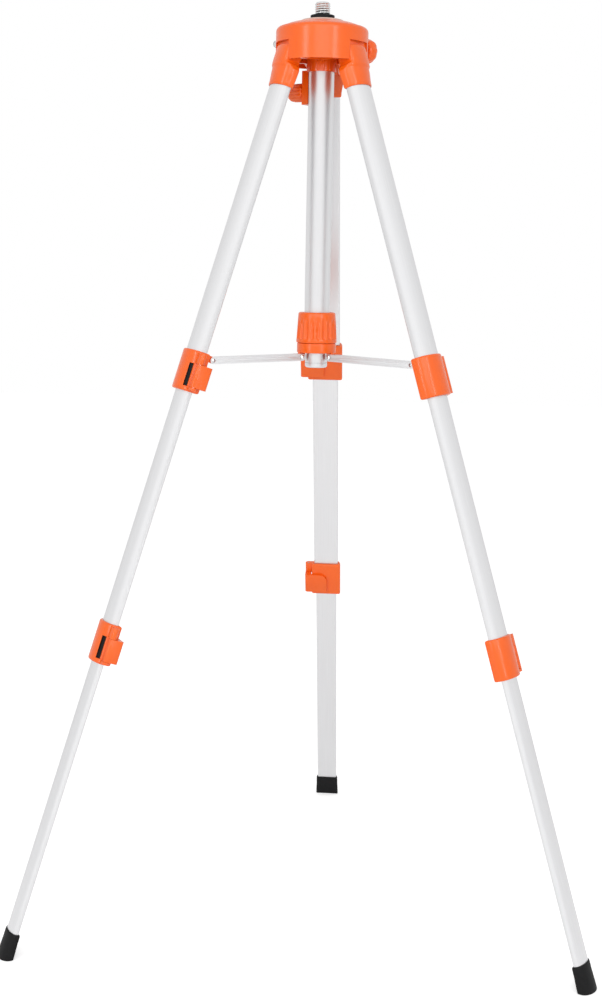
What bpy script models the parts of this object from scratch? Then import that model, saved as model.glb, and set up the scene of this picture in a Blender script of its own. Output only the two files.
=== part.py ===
"""Aluminium tripod for a laser level: a domed plastic crown on a round column, three telescopic legs with
flip locks, and a sliding spreader with three struts. Metres, +Z up, origin on the floor under the column."""

import math

import bmesh
import bpy
from mathutils import Matrix, Vector

MM = 0.001

# Fits
GAP = 0.3 * MM
SLIDE_GAP_WIDTH = 0.9 * MM
SLIDE_GAP_DEPTH = 0.45 * MM
PIN_GAP = 0.25 * MM

# Legs: hinge place, splay and stations along the leg, measured down from the hinge pin
LEG_AZIMUTHS = {"left": 210.0, "right": 330.0, "rear": 90.0}
LEG_SPLAY = math.radians(18.43)
HINGE_RADIUS = 38.0 * MM
HINGE_HEIGHT = 934.0 * MM
LEG_OFFSET = 4.6 * MM
BRACKET_END = 47.5 * MM
UPPER_LOCK_TOP = 329.0 * MM
LOWER_LOCK_TOP = 620.6 * MM
LOCK_LENGTH = 42.5 * MM
FOOT_LENGTH = 28.0 * MM

# Leg tubes: a flat inner face and a rounded outer face, each section inside the one above
TUBE_WIDTH = 33.6 * MM
TUBE_DEPTH = 15.2 * MM
TUBE_WALL = 1.2 * MM
TUBE_ARC_SHARE = 0.72
TUBE_CORNER = 1.5 * MM
TUBE_OVERLAP = 60.0 * MM

# Flip locks
LOCK_WALL = 3.0 * MM
LOCK_SEAT = 20.0 * MM
LOCK_LIP = 1.2 * MM
LOCK_SLIT = 2.4 * MM
LEVER_LENGTH = 25.0 * MM
LEVER_HEIGHT = 24.0 * MM
LEVER_THICKNESS = 3.2 * MM
LEVER_FROM_TOP = 13.5 * MM
LEVER_STAND_OFF = 0.6 * MM
LEVER_CORNER = 3.0 * MM
KNUCKLE_RADIUS = 3.6 * MM
KNUCKLE_OUT = 4.6 * MM
KNUCKLE_BACK = 1.0 * MM
LEVER_PIN_RADIUS = 1.3 * MM

# Strut lug on the upper lock
LUG_REACH = 22.0 * MM
LUG_FROM_HINGE = 332.5 * MM
LUG_THICKNESS = 3.0 * MM
LUG_EYE_RADIUS = 3.4 * MM

# Rubber feet
FOOT_WALL = 1.4 * MM
FOOT_FLARE = 0.5 * MM
FOOT_SOLE = 9.0 * MM

# Crown
CROWN_RADIUS = 47.5 * MM
CROWN_RISE = 20.8 * MM
CROWN_TOP = HINGE_HEIGHT + CROWN_RISE
CROWN_DOME = 7.5 * MM
CROWN_SHOULDER = 5.0 * MM
SKIRT_DROP = 20.0 * MM
CROWN_BOTTOM = HINGE_HEIGHT - SKIRT_DROP
CROWN_WALL = 3.0 * MM
CROWN_ROOF = 4.0 * MM
EAR_DROP = 3.0 * MM
EAR_BOTTOM = HINGE_HEIGHT - EAR_DROP
SLEEVE_WALL = 2.2 * MM
SLEEVE_DROP = 9.0 * MM
SLEEVE_BOTTOM = CROWN_BOTTOM - SLEEVE_DROP
CHEEK_THICKNESS = 3.2 * MM
BRACKET_TOP_WIDTH = 31.0 * MM
BRACKET_WALL = 1.5 * MM
BRACKET_SHOULDER = 24.0 * MM
BRACKET_SHOULDER_WIDTH = 41.0 * MM
BRACKET_OUTER = 11.5 * MM
BRACKET_INNER = 9.0 * MM
BRACKET_TOP = 6.5 * MM
BRACKET_TOP_ARC = 0.25
BARREL_RADIUS = 5.2 * MM
HINGE_PIN_RADIUS = 2.5 * MM
HINGE_HEAD_RADIUS = 3.8 * MM
HINGE_HEAD_REACH = 31.5 * MM

# Guide tube fixed in the crown, elevating column inside it, and mounting stud
GUIDE_RADIUS = 13.25 * MM
GUIDE_WALL = 1.1 * MM
HUB_BOTTOM = 617.2 * MM
GUIDE_END = 0.8 * MM
GUIDE_BOTTOM = HUB_BOTTOM + GUIDE_END
COLUMN_RADIUS = 11.8 * MM
COLUMN_WALL = 1.4 * MM
COLUMN_PROUD = 2.2 * MM
COLUMN_TOP = CROWN_TOP + COLUMN_PROUD
COLUMN_DROP = 16.5 * MM
PLUG_BOTTOM = GUIDE_BOTTOM - COLUMN_DROP
PLUG_RIM = 5.0 * MM
PLUG_SPIGOT = 14.0 * MM
STUD_RADIUS = 7.94 * MM
STUD_LENGTH = 17.4 * MM
STUD_TOP = COLUMN_TOP + STUD_LENGTH
STUD_PLUG_DEPTH = 24.0 * MM
WASHER_RADIUS = 12.4 * MM
WASHER_THICKNESS = 4.3 * MM
TOP_RING_RADIUS = 22.0 * MM
TOP_RING_THICKNESS = 1.5 * MM

# Spreader hub, twist collar and struts
HUB_RADIUS = 20.6 * MM
HUB_HEIGHT = 10.2 * MM
HUB_TOP = HUB_BOTTOM + HUB_HEIGHT
HUB_PIVOT_RADIUS = 17.5 * MM
HUB_PIVOT_DROP = 4.7 * MM
COLLAR_TOP_RADIUS = 19.6 * MM
COLLAR_BOTTOM_RADIUS = 21.6 * MM
COLLAR_HEIGHT = 32.0 * MM
COLLAR_CHAMFER = 1.6 * MM
COLLAR_FLUTES = 20
FLUTE_DEPTH = 1.1 * MM
FLUTE_MARGIN_TOP = 7.0 * MM
FLUTE_MARGIN_BOTTOM = 3.6 * MM
STRUT_DEPTH = 7.5 * MM
STRUT_SHEET = 1.2 * MM
STRUT_CLEAR = 0.6 * MM
STRUT_WEB_FROM_PIN = 9.0 * MM
RIVET_RADIUS = 1.6 * MM
RIVET_HEAD_RADIUS = 2.7 * MM
RIVET_HEAD = 0.9 * MM

# Clamp knobs on the crown
KNOB_AZIMUTH = 30.0
KNOB_DROP = 4.0 * MM
KNOB_HEIGHT = HINGE_HEIGHT - KNOB_DROP
KNOB_RADIUS = 12.5 * MM
KNOB_THICKNESS = 16.0 * MM
KNOB_LOBES = 8
KNOB_LOBE_DEPTH = 0.7 * MM
KNOB_SHAPE = ((0.0, 0.52), (0.2, 0.55), (0.26, 0.92), (0.36, 1.0), (0.7, 0.98), (0.9, 0.84), (1.0, 0.6))
GRIP_AZIMUTH = 150.0
GRIP_DROP = 19.0 * MM
GRIP_HEIGHT = SLEEVE_BOTTOM - GRIP_DROP
GRIP_RADIUS = 9.4 * MM
GRIP_LENGTH = 19.0 * MM
GRIP_RIBS = 14
GRIP_RIB_DEPTH = 0.9 * MM
GRIP_SHAPE = ((0.0, 0.8), (0.08, 1.0), (0.6, 1.0), (0.86, 0.9), (1.0, 0.66))
SCREW_RADIUS = 3.0 * MM
TONGUE_DROP = 13.0 * MM
TONGUE_BOTTOM = GRIP_HEIGHT - TONGUE_DROP
TONGUE_HALF_WIDTH = 8.0 * MM
TONGUE_THICKNESS = 5.4 * MM

ROUND = 30
ARC_STEPS = 10
CROWN_STEPS = 42


def clear_scene():
    for old in list(bpy.data.objects):
        bpy.data.objects.remove(old)


def finish_material(name, colour, roughness, metallic):
    material = bpy.data.materials.new(name)
    material.use_nodes = True
    shader = material.node_tree.nodes["Principled BSDF"]
    shader.inputs["Base Color"].default_value = (*colour, 1.0)
    shader.inputs["Roughness"].default_value = roughness
    shader.inputs["Metallic"].default_value = metallic
    return material


def new_object(name, mesh_data, material=None):
    mesh = bpy.data.meshes.new(name)
    mesh_data.normal_update()
    bmesh.ops.recalc_face_normals(mesh_data, faces=mesh_data.faces)
    mesh_data.to_mesh(mesh)
    mesh_data.free()
    made = bpy.data.objects.new(name, mesh)
    bpy.context.scene.collection.objects.link(made)
    if material:
        mesh.materials.append(material)
    return made


def place(piece, parent=None, location=(0, 0, 0), rotation=(0, 0, 0)):
    piece.location = location
    piece.rotation_euler = rotation
    piece.parent = parent
    piece.data.shade_smooth()
    piece.data.set_sharp_from_angle(angle=math.radians(32))
    return piece


def combine(target, tool, operation):
    """Joins the tool to the target, or cuts it out, and removes the tool."""
    boolean = target.modifiers.new("combine", "BOOLEAN")
    boolean.operation = operation
    boolean.object = tool
    boolean.solver = "EXACT"
    bpy.context.view_layer.update()
    evaluated = target.evaluated_get(bpy.context.evaluated_depsgraph_get())
    mesh = bpy.data.meshes.new_from_object(evaluated)
    target.modifiers.clear()
    target.data = mesh
    bpy.data.objects.remove(tool)
    return target


def cut(target, tool):
    return combine(target, tool, "DIFFERENCE")


def join(target, tool):
    return combine(target, tool, "UNION")


def loft(name, loops, material=None, closed=False):
    """Skins loops of equal count. An open loft is capped, and a closed one runs back to its first loop."""
    shape = bmesh.new()
    rings = [[shape.verts.new(point) for point in loop] for loop in loops]
    count = len(rings[0])
    pairs = list(zip(rings, rings[1:]))
    if closed:
        pairs.append((rings[-1], rings[0]))
    for lower, upper in pairs:
        for i in range(count):
            j = (i + 1) % count
            shape.faces.new((lower[i], lower[j], upper[j], upper[i]))
    if not closed:
        shape.faces.new(rings[0])
        shape.faces.new(list(reversed(rings[-1])))
    return new_object(name, shape, material)


def flat_loop(outline, z):
    return [Vector((x, y, z)) for x, y in outline]


def circle(radius, count=ROUND):
    steps = [2 * math.pi * i / count for i in range(count)]
    return [(radius * math.cos(a), radius * math.sin(a)) for a in steps]


def turned(name, profile, material=None, count=ROUND, closed=False):
    """A lathe piece on Z. An open profile is solid to its end faces, and a closed one is a ring."""
    loops = [flat_loop(circle(radius, count), z) for radius, z in profile]
    return loft(name, loops, material, closed)


def rod(name, radius, start, end, material=None, count=16):
    """A plain round bar along X, from start to end."""
    loops = [[Vector((x, u, v)) for u, v in circle(radius, count)] for x in (start, end)]
    return loft(name, loops, material)


def block(name, low, high, material=None):
    outline = [(low[0], low[1]), (high[0], low[1]), (high[0], high[1]), (low[0], high[1])]
    return loft(name, [flat_loop(outline, low[2]), flat_loop(outline, high[2])], material)


def slab(name, outline, low_x, high_x, material=None):
    """An outline in Y and Z, extruded along X."""
    loops = [[Vector((x, y, z)) for y, z in outline] for x in (low_x, high_x)]
    return loft(name, loops, material)


def eye_outline(centre, radius, far, half_height):
    """A blade with a round eye at centre and a square root at far, both given as (y, z)."""
    side = 1 if far > centre[0] else -1
    points = [(far, centre[1] - side * half_height), (far, centre[1] + side * half_height)]
    for i in range(7):
        angle = math.pi / 2 + math.pi * i / 6
        points.append((centre[0] + side * radius * math.cos(angle), centre[1] + side * radius * math.sin(angle)))
    return points


def loaf(width, low, high, arc_share=TUBE_ARC_SHARE):
    """The leg section: a flat inner face at Y low, short straight sides and a rounded outer face up to Y high."""
    half = width / 2
    corner = TUBE_CORNER
    arc_height = (high - low) * arc_share
    arc_base = high - arc_height
    points = []
    for i in range(3):
        angle = -math.pi / 2 + math.pi / 2 * i / 2
        points.append((half - corner + corner * math.cos(angle), low + corner + corner * math.sin(angle)))
    for i in range(ARC_STEPS + 1):
        angle = math.pi * i / ARC_STEPS
        points.append((half * math.cos(angle), arc_base + arc_height * math.sin(angle)))
    for i in range(3):
        angle = math.pi + math.pi / 2 * i / 2
        points.append((-half + corner + corner * math.cos(angle), low + corner + corner * math.sin(angle)))
    return points


def half_size(index, grow=0.0):
    """Half the width and half the depth of leg tube number index, 0 at the top, offset outwards by grow."""
    half_width = TUBE_WIDTH / 2 - index * (TUBE_WALL + SLIDE_GAP_WIDTH) + grow
    half_depth = TUBE_DEPTH / 2 - index * (TUBE_WALL + SLIDE_GAP_DEPTH) + grow
    return half_width, half_depth


def section(index, grow=0.0):
    half_width, half_depth = half_size(index, grow)
    return loaf(2 * half_width, -half_depth, half_depth)


def tube(name, index, top, bottom, material):
    outer = section(index)
    inner = section(index, -TUBE_WALL)
    loops = [flat_loop(outer, -top), flat_loop(outer, -bottom), flat_loop(inner, -bottom), flat_loop(inner, -top)]
    return loft(name, loops, material, closed=True)


def bracket(name, material):
    """The moulded shoulder that pivots in the crown and takes the top of the upper tube."""
    seat = BRACKET_SHOULDER + 6 * MM
    mouth_depth = half_size(0, BRACKET_WALL)[1]
    neck = loaf(BRACKET_TOP_WIDTH, -BRACKET_INNER, BRACKET_OUTER, BRACKET_TOP_ARC)
    top = loaf(BRACKET_TOP_WIDTH - 1 * MM, -BRACKET_INNER + 1 * MM, BRACKET_OUTER - 0.5 * MM, BRACKET_TOP_ARC)
    round_over = loaf(BRACKET_SHOULDER_WIDTH - 3 * MM, -BRACKET_INNER, BRACKET_OUTER, (BRACKET_TOP_ARC + TUBE_ARC_SHARE) / 2)
    shoulder = loaf(BRACKET_SHOULDER_WIDTH, -(BRACKET_INNER + mouth_depth) / 2, (BRACKET_OUTER + mouth_depth) / 2)
    body = loft(name, [flat_loop(top, -BRACKET_TOP), flat_loop(neck, -(BRACKET_TOP + 1.5 * MM)),
                       flat_loop(neck, -BRACKET_SHOULDER), flat_loop(round_over, -(BRACKET_SHOULDER + 2.5 * MM)),
                       flat_loop(shoulder, -seat), flat_loop(section(0, BRACKET_WALL), -BRACKET_END)], material)
    root = BRACKET_TOP + 6 * MM
    plumb = (root - BARREL_RADIUS * math.sin(LEG_SPLAY)) * math.tan(LEG_SPLAY)
    outline = [(LEG_OFFSET - BARREL_RADIUS, -root), (LEG_OFFSET + BARREL_RADIUS * math.cos(LEG_SPLAY) - plumb, -root)]
    for i in range(9):
        angle = (math.pi + LEG_SPLAY) * i / 8 - LEG_SPLAY
        outline.append((LEG_OFFSET + BARREL_RADIUS * math.cos(angle), BARREL_RADIUS * math.sin(angle)))
    join(body, slab("barrel", outline, -BRACKET_TOP_WIDTH / 2 + GAP, BRACKET_TOP_WIDTH / 2 - GAP))
    bore = section(0, GAP)
    cut(body, loft("socket", [flat_loop(bore, -(seat + 1 * MM)), flat_loop(bore, -(BRACKET_END + 5 * MM))]))
    pin_hole = rod("pin_hole", HINGE_PIN_RADIUS + PIN_GAP, -BRACKET_TOP_WIDTH, BRACKET_TOP_WIDTH)
    pin_hole.location = (0, LEG_OFFSET, 0)
    return cut(body, pin_hole)


def hinge_pin(name, side, material):
    """A steel pivot bolt along X. Its head comes out through the crown's skirt on the given side."""
    inner_end = BRACKET_TOP_WIDTH / 2 + GAP + CHEEK_THICKNESS
    reach = HINGE_HEAD_REACH
    head_start = inner_end + 2 * MM
    profile = [(-inner_end, HINGE_PIN_RADIUS), (head_start, HINGE_PIN_RADIUS), (head_start, HINGE_HEAD_RADIUS),
               (reach - 1 * MM, HINGE_HEAD_RADIUS), (reach, HINGE_HEAD_RADIUS - 1 * MM)]
    loops = [[Vector((side * x, u, v)) for u, v in circle(radius, 14)] for x, radius in profile]
    return loft(name, loops, material)


def lever_axis(index):
    """Where the flip lever turns, in leg X and Y: beside the lock, on its +tangential side."""
    half_width, _ = half_size(index, LOCK_WALL)
    return -(half_width + KNUCKLE_OUT), -KNUCKLE_BACK


def lock(name, index, top, material):
    """A split sleeve on the end of tube number index, with two ears at its side for the flip lever's pin."""
    outer = section(index, LOCK_WALL)
    rim = section(index, LOCK_WALL - LOCK_LIP)
    step = top + LOCK_SEAT
    end = top + LOCK_LENGTH
    body = loft(name, [flat_loop(rim, -top), flat_loop(outer, -(top + LOCK_LIP)), flat_loop(outer, -(end - LOCK_LIP)),
                       flat_loop(rim, -end)], material)
    half_width, half_depth = half_size(index, LOCK_WALL)
    axis_x, axis_y = lever_axis(index)
    lever_top = top + LEVER_FROM_TOP
    lever_bottom = lever_top + LEVER_HEIGHT
    for ear_top, ear_bottom in ((top + LOCK_LIP, lever_top - GAP), (lever_bottom + GAP, end - LOCK_LIP)):
        outline = [(-half_width + 4 * MM, axis_y - KNUCKLE_RADIUS), (-half_width + 4 * MM, axis_y + KNUCKLE_RADIUS)]
        for i in range(7):
            angle = math.pi / 2 + math.pi * i / 6
            outline.append((axis_x + KNUCKLE_RADIUS * math.cos(angle), axis_y + KNUCKLE_RADIUS * math.sin(angle)))
        join(body, loft("ear", [flat_loop(outline, -ear_bottom), flat_loop(outline, -ear_top)]))
    seat = section(index, GAP)
    throat = section(index + 1, GAP)
    cut(body, loft("bore", [flat_loop(seat, -(top - 5 * MM)), flat_loop(seat, -step)]))
    cut(body, loft("passage", [flat_loop(throat, -(step - 2 * MM)), flat_loop(throat, -(end + 5 * MM))]))
    slit_back = axis_y + KNUCKLE_RADIUS + GAP
    cut(body, block("slit", (-half_width - 5 * MM, slit_back, -lever_bottom),
                    (-half_size(index + 1)[0] + 3 * MM, slit_back + LOCK_SLIT, -lever_top)))
    hole = turned("hole", [(LEVER_PIN_RADIUS + PIN_GAP, -(end + 5 * MM)), (LEVER_PIN_RADIUS + PIN_GAP, -(top - 5 * MM))],
                  count=12)
    hole.location = (axis_x, axis_y, 0)
    return cut(body, hole)


def lug(body, index):
    """Adds the strut's ear to the inner face of an upper lock."""
    half_depth = half_size(index, LOCK_WALL)[1]
    outline = eye_outline((-LUG_REACH, -LUG_FROM_HINGE), LUG_EYE_RADIUS, -half_depth + 1 * MM, LUG_EYE_RADIUS)
    join(body, slab("lug", outline, -LUG_THICKNESS / 2, LUG_THICKNESS / 2))
    hole = rod("lug_hole", RIVET_RADIUS + PIN_GAP, -5 * MM, 5 * MM, count=12)
    hole.location = (0, -LUG_REACH, -LUG_FROM_HINGE)
    return cut(body, hole)


def lever(name, index, material):
    """A flip lever about its own pin: a knuckle, an arm round the lock's side and a plate over its inner face."""
    half_width, half_depth = half_size(index, LOCK_WALL)
    plate_top = KNUCKLE_BACK - half_depth - LEVER_STAND_OFF
    plate_low = plate_top - LEVER_THICKNESS
    arm_in = KNUCKLE_OUT - LEVER_STAND_OFF
    finger = KNUCKLE_OUT + LEVER_LENGTH
    outline = []
    for i in range(7):
        angle = math.pi * i / 6
        outline.append((KNUCKLE_RADIUS * math.cos(angle), KNUCKLE_RADIUS * math.sin(angle)))
    for i in range(5):
        angle = math.pi + math.pi / 2 * i / 4
        outline.append((-KNUCKLE_RADIUS + LEVER_CORNER + LEVER_CORNER * math.cos(angle),
                        plate_low + LEVER_CORNER + LEVER_CORNER * math.sin(angle)))
    outline += [(finger - 1.5 * MM, plate_low), (finger, plate_low + LEVER_THICKNESS * 0.4), (finger - 1 * MM, plate_top)]
    outline += [(arm_in - LEVER_STAND_OFF, plate_top), (arm_in - LEVER_STAND_OFF, -KNUCKLE_RADIUS)]
    plate = loft(name, [flat_loop(outline, -LEVER_HEIGHT), flat_loop(outline, 0)], material)
    corner = LEVER_HEIGHT * 0.4
    trim = block("trim", (finger - corner, plate_low - 5 * MM, -corner), (finger + 10 * MM, plate_top + 5 * MM, 5 * MM))
    rounder = rod("rounder", corner, plate_low - 8 * MM, plate_top + 8 * MM, count=24)
    rounder.rotation_euler = (0, 0, math.pi / 2)
    rounder.location = (finger - corner, 0, -corner)
    cut(trim, rounder)
    cut(plate, trim)
    hole = turned("hole", [(LEVER_PIN_RADIUS + PIN_GAP, -LEVER_HEIGHT - 5 * MM),
                           (LEVER_PIN_RADIUS + PIN_GAP, 5 * MM)], count=12)
    return cut(plate, hole)


def lever_pin(name, material):
    """The pin through both of a lock's ears, from the lock's top lip to its bottom lip."""
    top = LEVER_FROM_TOP - LOCK_LIP
    bottom = LEVER_FROM_TOP - LOCK_LENGTH + LOCK_LIP
    return turned(name, [(LEVER_PIN_RADIUS, bottom), (LEVER_PIN_RADIUS, top)], material, count=12)


def foot(name, material):
    """A rubber boot on the lower tube, cut level with the floor."""
    floor = (HINGE_HEIGHT - LEG_OFFSET * math.sin(LEG_SPLAY)) / math.cos(LEG_SPLAY)
    top = floor - FOOT_LENGTH
    grip = section(2, FOOT_WALL)
    sole = section(2, FOOT_WALL + FOOT_FLARE)
    body = loft(name, [flat_loop(section(2, FOOT_WALL * 0.6), -top), flat_loop(grip, -(top + 2 * MM)),
                       flat_loop(sole, -(floor - 6 * MM)), flat_loop(sole, -(floor + 20 * MM))], material)
    socket = section(2, GAP)
    cut(body, loft("socket", [flat_loop(socket, -(top - 5 * MM)), flat_loop(socket, -(floor - FOOT_SOLE))]))
    ground = block("ground", (-60 * MM, -60 * MM, -60 * MM), (60 * MM, 60 * MM, 0))
    ground.location = (0, 0, -floor)
    ground.rotation_euler = (-LEG_SPLAY, 0, 0)
    cut(body, ground)
    return body, floor - FOOT_SOLE - GAP


def crown(material):
    """The moulded head: a domed shell with a sleeve for the column and a slot, with cheeks, for each leg."""
    bore = GUIDE_RADIUS + GAP
    sleeve = bore + SLEEVE_WALL
    rim_z = CROWN_TOP - CROWN_DOME
    profile = [(bore, SLEEVE_BOTTOM), (bore, CROWN_TOP)]
    dome_end = CROWN_RADIUS - CROWN_SHOULDER
    for i in range(5):
        radius = TOP_RING_RADIUS + (dome_end - TOP_RING_RADIUS) * i / 4
        share = (radius - TOP_RING_RADIUS) / (dome_end - TOP_RING_RADIUS)
        profile.append((radius, CROWN_TOP - (CROWN_DOME - CROWN_SHOULDER * 0.4) * share ** 1.6))
    start = profile[-1][1]
    for i in range(1, 5):
        angle = math.pi / 2 * i / 4
        profile.append((dome_end + CROWN_SHOULDER * math.sin(angle), start - CROWN_SHOULDER * (1 - math.cos(angle))))
    profile += [(CROWN_RADIUS, CROWN_BOTTOM), (CROWN_RADIUS - CROWN_WALL, CROWN_BOTTOM),
                (CROWN_RADIUS - CROWN_WALL, rim_z - CROWN_ROOF), (sleeve, CROWN_TOP - CROWN_ROOF), (sleeve, SLEEVE_BOTTOM)]
    body = turned("crown", profile, material, count=CROWN_STEPS, closed=True)
    slot_half = BRACKET_TOP_WIDTH / 2 + GAP
    for azimuth in LEG_AZIMUTHS.values():
        turn = math.radians(azimuth - 90)
        for side in (-1, 1):
            inner = side * (slot_half - 0.8 * MM)
            outer = side * (slot_half + CHEEK_THICKNESS)
            reach = math.sqrt((CROWN_RADIUS - CROWN_WALL * 0.5) ** 2 - outer ** 2)
            cheek = block("cheek", (min(inner, outer), 10 * MM, CROWN_BOTTOM + 1 * MM),
                          (max(inner, outer), reach, rim_z - CROWN_ROOF * 0.4))
            cheek.rotation_euler = (0, 0, turn)
            join(body, cheek)
    tongue = block("tongue", (-TONGUE_HALF_WIDTH, GUIDE_RADIUS - 4 * MM, TONGUE_BOTTOM),
                   (TONGUE_HALF_WIDTH, bore + TONGUE_THICKNESS, CROWN_TOP - CROWN_ROOF * 0.5))
    tongue.rotation_euler = (0, 0, math.radians(GRIP_AZIMUTH - 90))
    join(body, tongue)
    cut(body, turned("bore", [(bore, TONGUE_BOTTOM - 5 * MM), (bore, CROWN_TOP + 5 * MM)]))
    for name, azimuth in LEG_AZIMUTHS.items():
        turn = math.radians(azimuth - 90)
        slot = block("slot", (-slot_half, sleeve + 1 * MM, CROWN_BOTTOM - 5 * MM),
                     (slot_half, CROWN_RADIUS + 5 * MM, EAR_BOTTOM))
        slot.rotation_euler = (0, 0, turn)
        cut(body, slot)
        pocket = block("pocket", (-slot_half, sleeve + 1 * MM, CROWN_BOTTOM),
                       (slot_half, HINGE_RADIUS + BARREL_RADIUS + GAP, HINGE_HEIGHT + BARREL_RADIUS + 1.5 * MM))
        pocket.rotation_euler = (0, 0, turn)
        cut(body, pocket)
        side = HEAD_SIDES[name]
        for radius, start, end in ((HINGE_PIN_RADIUS + PIN_GAP, -slot_half - CHEEK_THICKNESS - 0.5 * MM,
                                    slot_half + CHEEK_THICKNESS + 3 * MM),
                                   (HINGE_HEAD_RADIUS + GAP, slot_half + CHEEK_THICKNESS + 1 * MM, CROWN_RADIUS)):
            hole = rod("hole", radius, side * start, side * end, count=14)
            hole.matrix_world = Matrix.Rotation(turn, 4, "Z") @ Matrix.Translation((0, HINGE_RADIUS, HINGE_HEIGHT))
            cut(body, hole)
    for azimuth, height in ((KNOB_AZIMUTH, KNOB_HEIGHT), (GRIP_AZIMUTH, GRIP_HEIGHT)):
        hole = rod("screw_hole", SCREW_RADIUS + GAP, GUIDE_RADIUS - 4 * MM, CROWN_RADIUS + 5 * MM)
        hole.rotation_euler = (0, 0, math.radians(azimuth))
        hole.location = (0, 0, height)
        cut(body, hole)
    return body


def knob(name, radius, start, length, lobes, lobe_depth, profile, material):
    """A moulded hand knob on a radial screw along X, with lobes or ribs round it and a blind hole for the screw."""
    per_lobe = 4
    count = lobes * per_lobe
    loops = []
    for along, share in profile:
        loop = []
        for i in range(count):
            angle = 2 * math.pi * i / count
            wave = lobe_depth * (0.5 - 0.5 * math.cos(lobes * angle))
            size = radius * share - wave
            loop.append(Vector((start + length * along, size * math.cos(angle), size * math.sin(angle))))
        loops.append(loop)
    body = loft(name, loops, material)
    return cut(body, rod("blind_hole", SCREW_RADIUS + GAP, start - 5 * MM, start + length * 0.7))


def twist_collar(material):
    """The fluted nut that clamps the hub to the column."""
    bore = GUIDE_RADIUS + GAP
    bottom = HUB_TOP + GAP
    count = COLLAR_FLUTES * 4
    stations = [(0.0, -COLLAR_CHAMFER * 0.6, 0.0), (COLLAR_CHAMFER * 0.6, 0.0, 0.0),
                (FLUTE_MARGIN_BOTTOM, 0.0, 0.0), (FLUTE_MARGIN_BOTTOM + 2 * MM, 0.0, 1.0),
                (COLLAR_HEIGHT - FLUTE_MARGIN_TOP - 3 * MM, 0.0, 1.0), (COLLAR_HEIGHT - FLUTE_MARGIN_TOP, 0.0, 0.0),
                (COLLAR_HEIGHT - COLLAR_CHAMFER, 0.0, 0.0), (COLLAR_HEIGHT, -COLLAR_CHAMFER, 0.0)]
    loops = [flat_loop(circle(bore, count), bottom + COLLAR_HEIGHT), flat_loop(circle(bore, count), bottom)]
    for rise, inset, flute in stations:
        share = rise / COLLAR_HEIGHT
        radius = COLLAR_BOTTOM_RADIUS + (COLLAR_TOP_RADIUS - COLLAR_BOTTOM_RADIUS) * share + inset
        loop = []
        for i in range(count):
            angle = 2 * math.pi * i / count
            size = radius - flute * FLUTE_DEPTH * (0.5 - 0.5 * math.cos(COLLAR_FLUTES * angle))
            loop.append(Vector((size * math.cos(angle), size * math.sin(angle), bottom + rise)))
        loops.append(loop)
    return loft("twist_collar", loops, material, closed=True)


def guide_tube(material):
    """The outer column tube, drilled where the two clamp screws reach the column inside it."""
    inner = GUIDE_RADIUS - GUIDE_WALL
    top = CROWN_TOP - GAP
    body = turned("guide_tube", [(GUIDE_RADIUS, GUIDE_BOTTOM), (GUIDE_RADIUS, top), (inner, top), (inner, GUIDE_BOTTOM)],
                  material, closed=True)
    for azimuth, height in ((KNOB_AZIMUTH, KNOB_HEIGHT), (GRIP_AZIMUTH, GRIP_HEIGHT)):
        hole = rod("hole", SCREW_RADIUS + GAP, inner - 2 * MM, GUIDE_RADIUS + 2 * MM)
        hole.rotation_euler = (0, 0, math.radians(azimuth))
        hole.location = (0, 0, height)
        cut(body, hole)
    return body


def hub_pivot_height():
    return HUB_BOTTOM - HUB_PIVOT_DROP


def spreader_hub(material):
    """The ring that slides on the column, with an ear under it for each strut."""
    bore = GUIDE_RADIUS + GAP
    bevel = 1.0 * MM
    profile = [(bore, HUB_BOTTOM), (HUB_RADIUS - bevel, HUB_BOTTOM), (HUB_RADIUS, HUB_BOTTOM + bevel),
               (HUB_RADIUS, HUB_TOP - bevel), (HUB_RADIUS - bevel, HUB_TOP), (bore, HUB_TOP)]
    body = turned("spreader_hub", profile, material, closed=True)
    height = hub_pivot_height()
    for azimuth in LEG_AZIMUTHS.values():
        outline = [(HUB_PIVOT_RADIUS - LUG_EYE_RADIUS, HUB_BOTTOM + 2 * MM)]
        for i in range(7):
            angle = math.pi + math.pi * i / 6
            outline.append((HUB_PIVOT_RADIUS + LUG_EYE_RADIUS * math.cos(angle), height + LUG_EYE_RADIUS * math.sin(angle)))
        outline.append((HUB_PIVOT_RADIUS + LUG_EYE_RADIUS, HUB_BOTTOM + 2 * MM))
        ear = slab("ear", outline, -LUG_THICKNESS / 2, LUG_THICKNESS / 2)
        ear.rotation_euler = (0, 0, math.radians(azimuth - 90))
        join(body, ear)
        hole = rod("hole", RIVET_RADIUS + PIN_GAP, -8 * MM, 8 * MM, count=12)
        hole.matrix_world = (Matrix.Rotation(math.radians(azimuth - 90), 4, "Z")
                             @ Matrix.Translation((0, HUB_PIVOT_RADIUS, height)))
        cut(body, hole)
    return body


def lug_place():
    """The strut's outer pivot as (radius, height), with the leg at rest."""
    inward = LEG_OFFSET + LUG_REACH
    radius = HINGE_RADIUS - inward * math.cos(LEG_SPLAY) + LUG_FROM_HINGE * math.sin(LEG_SPLAY)
    height = HINGE_HEIGHT - inward * math.sin(LEG_SPLAY) - LUG_FROM_HINGE * math.cos(LEG_SPLAY)
    return radius, height


def strut_reach():
    radius, height = lug_place()
    return math.hypot(radius - HUB_PIVOT_RADIUS, height - hub_pivot_height())


def strut_slope():
    radius, height = lug_place()
    return math.atan2(height - hub_pivot_height(), radius - HUB_PIVOT_RADIUS)


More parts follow.
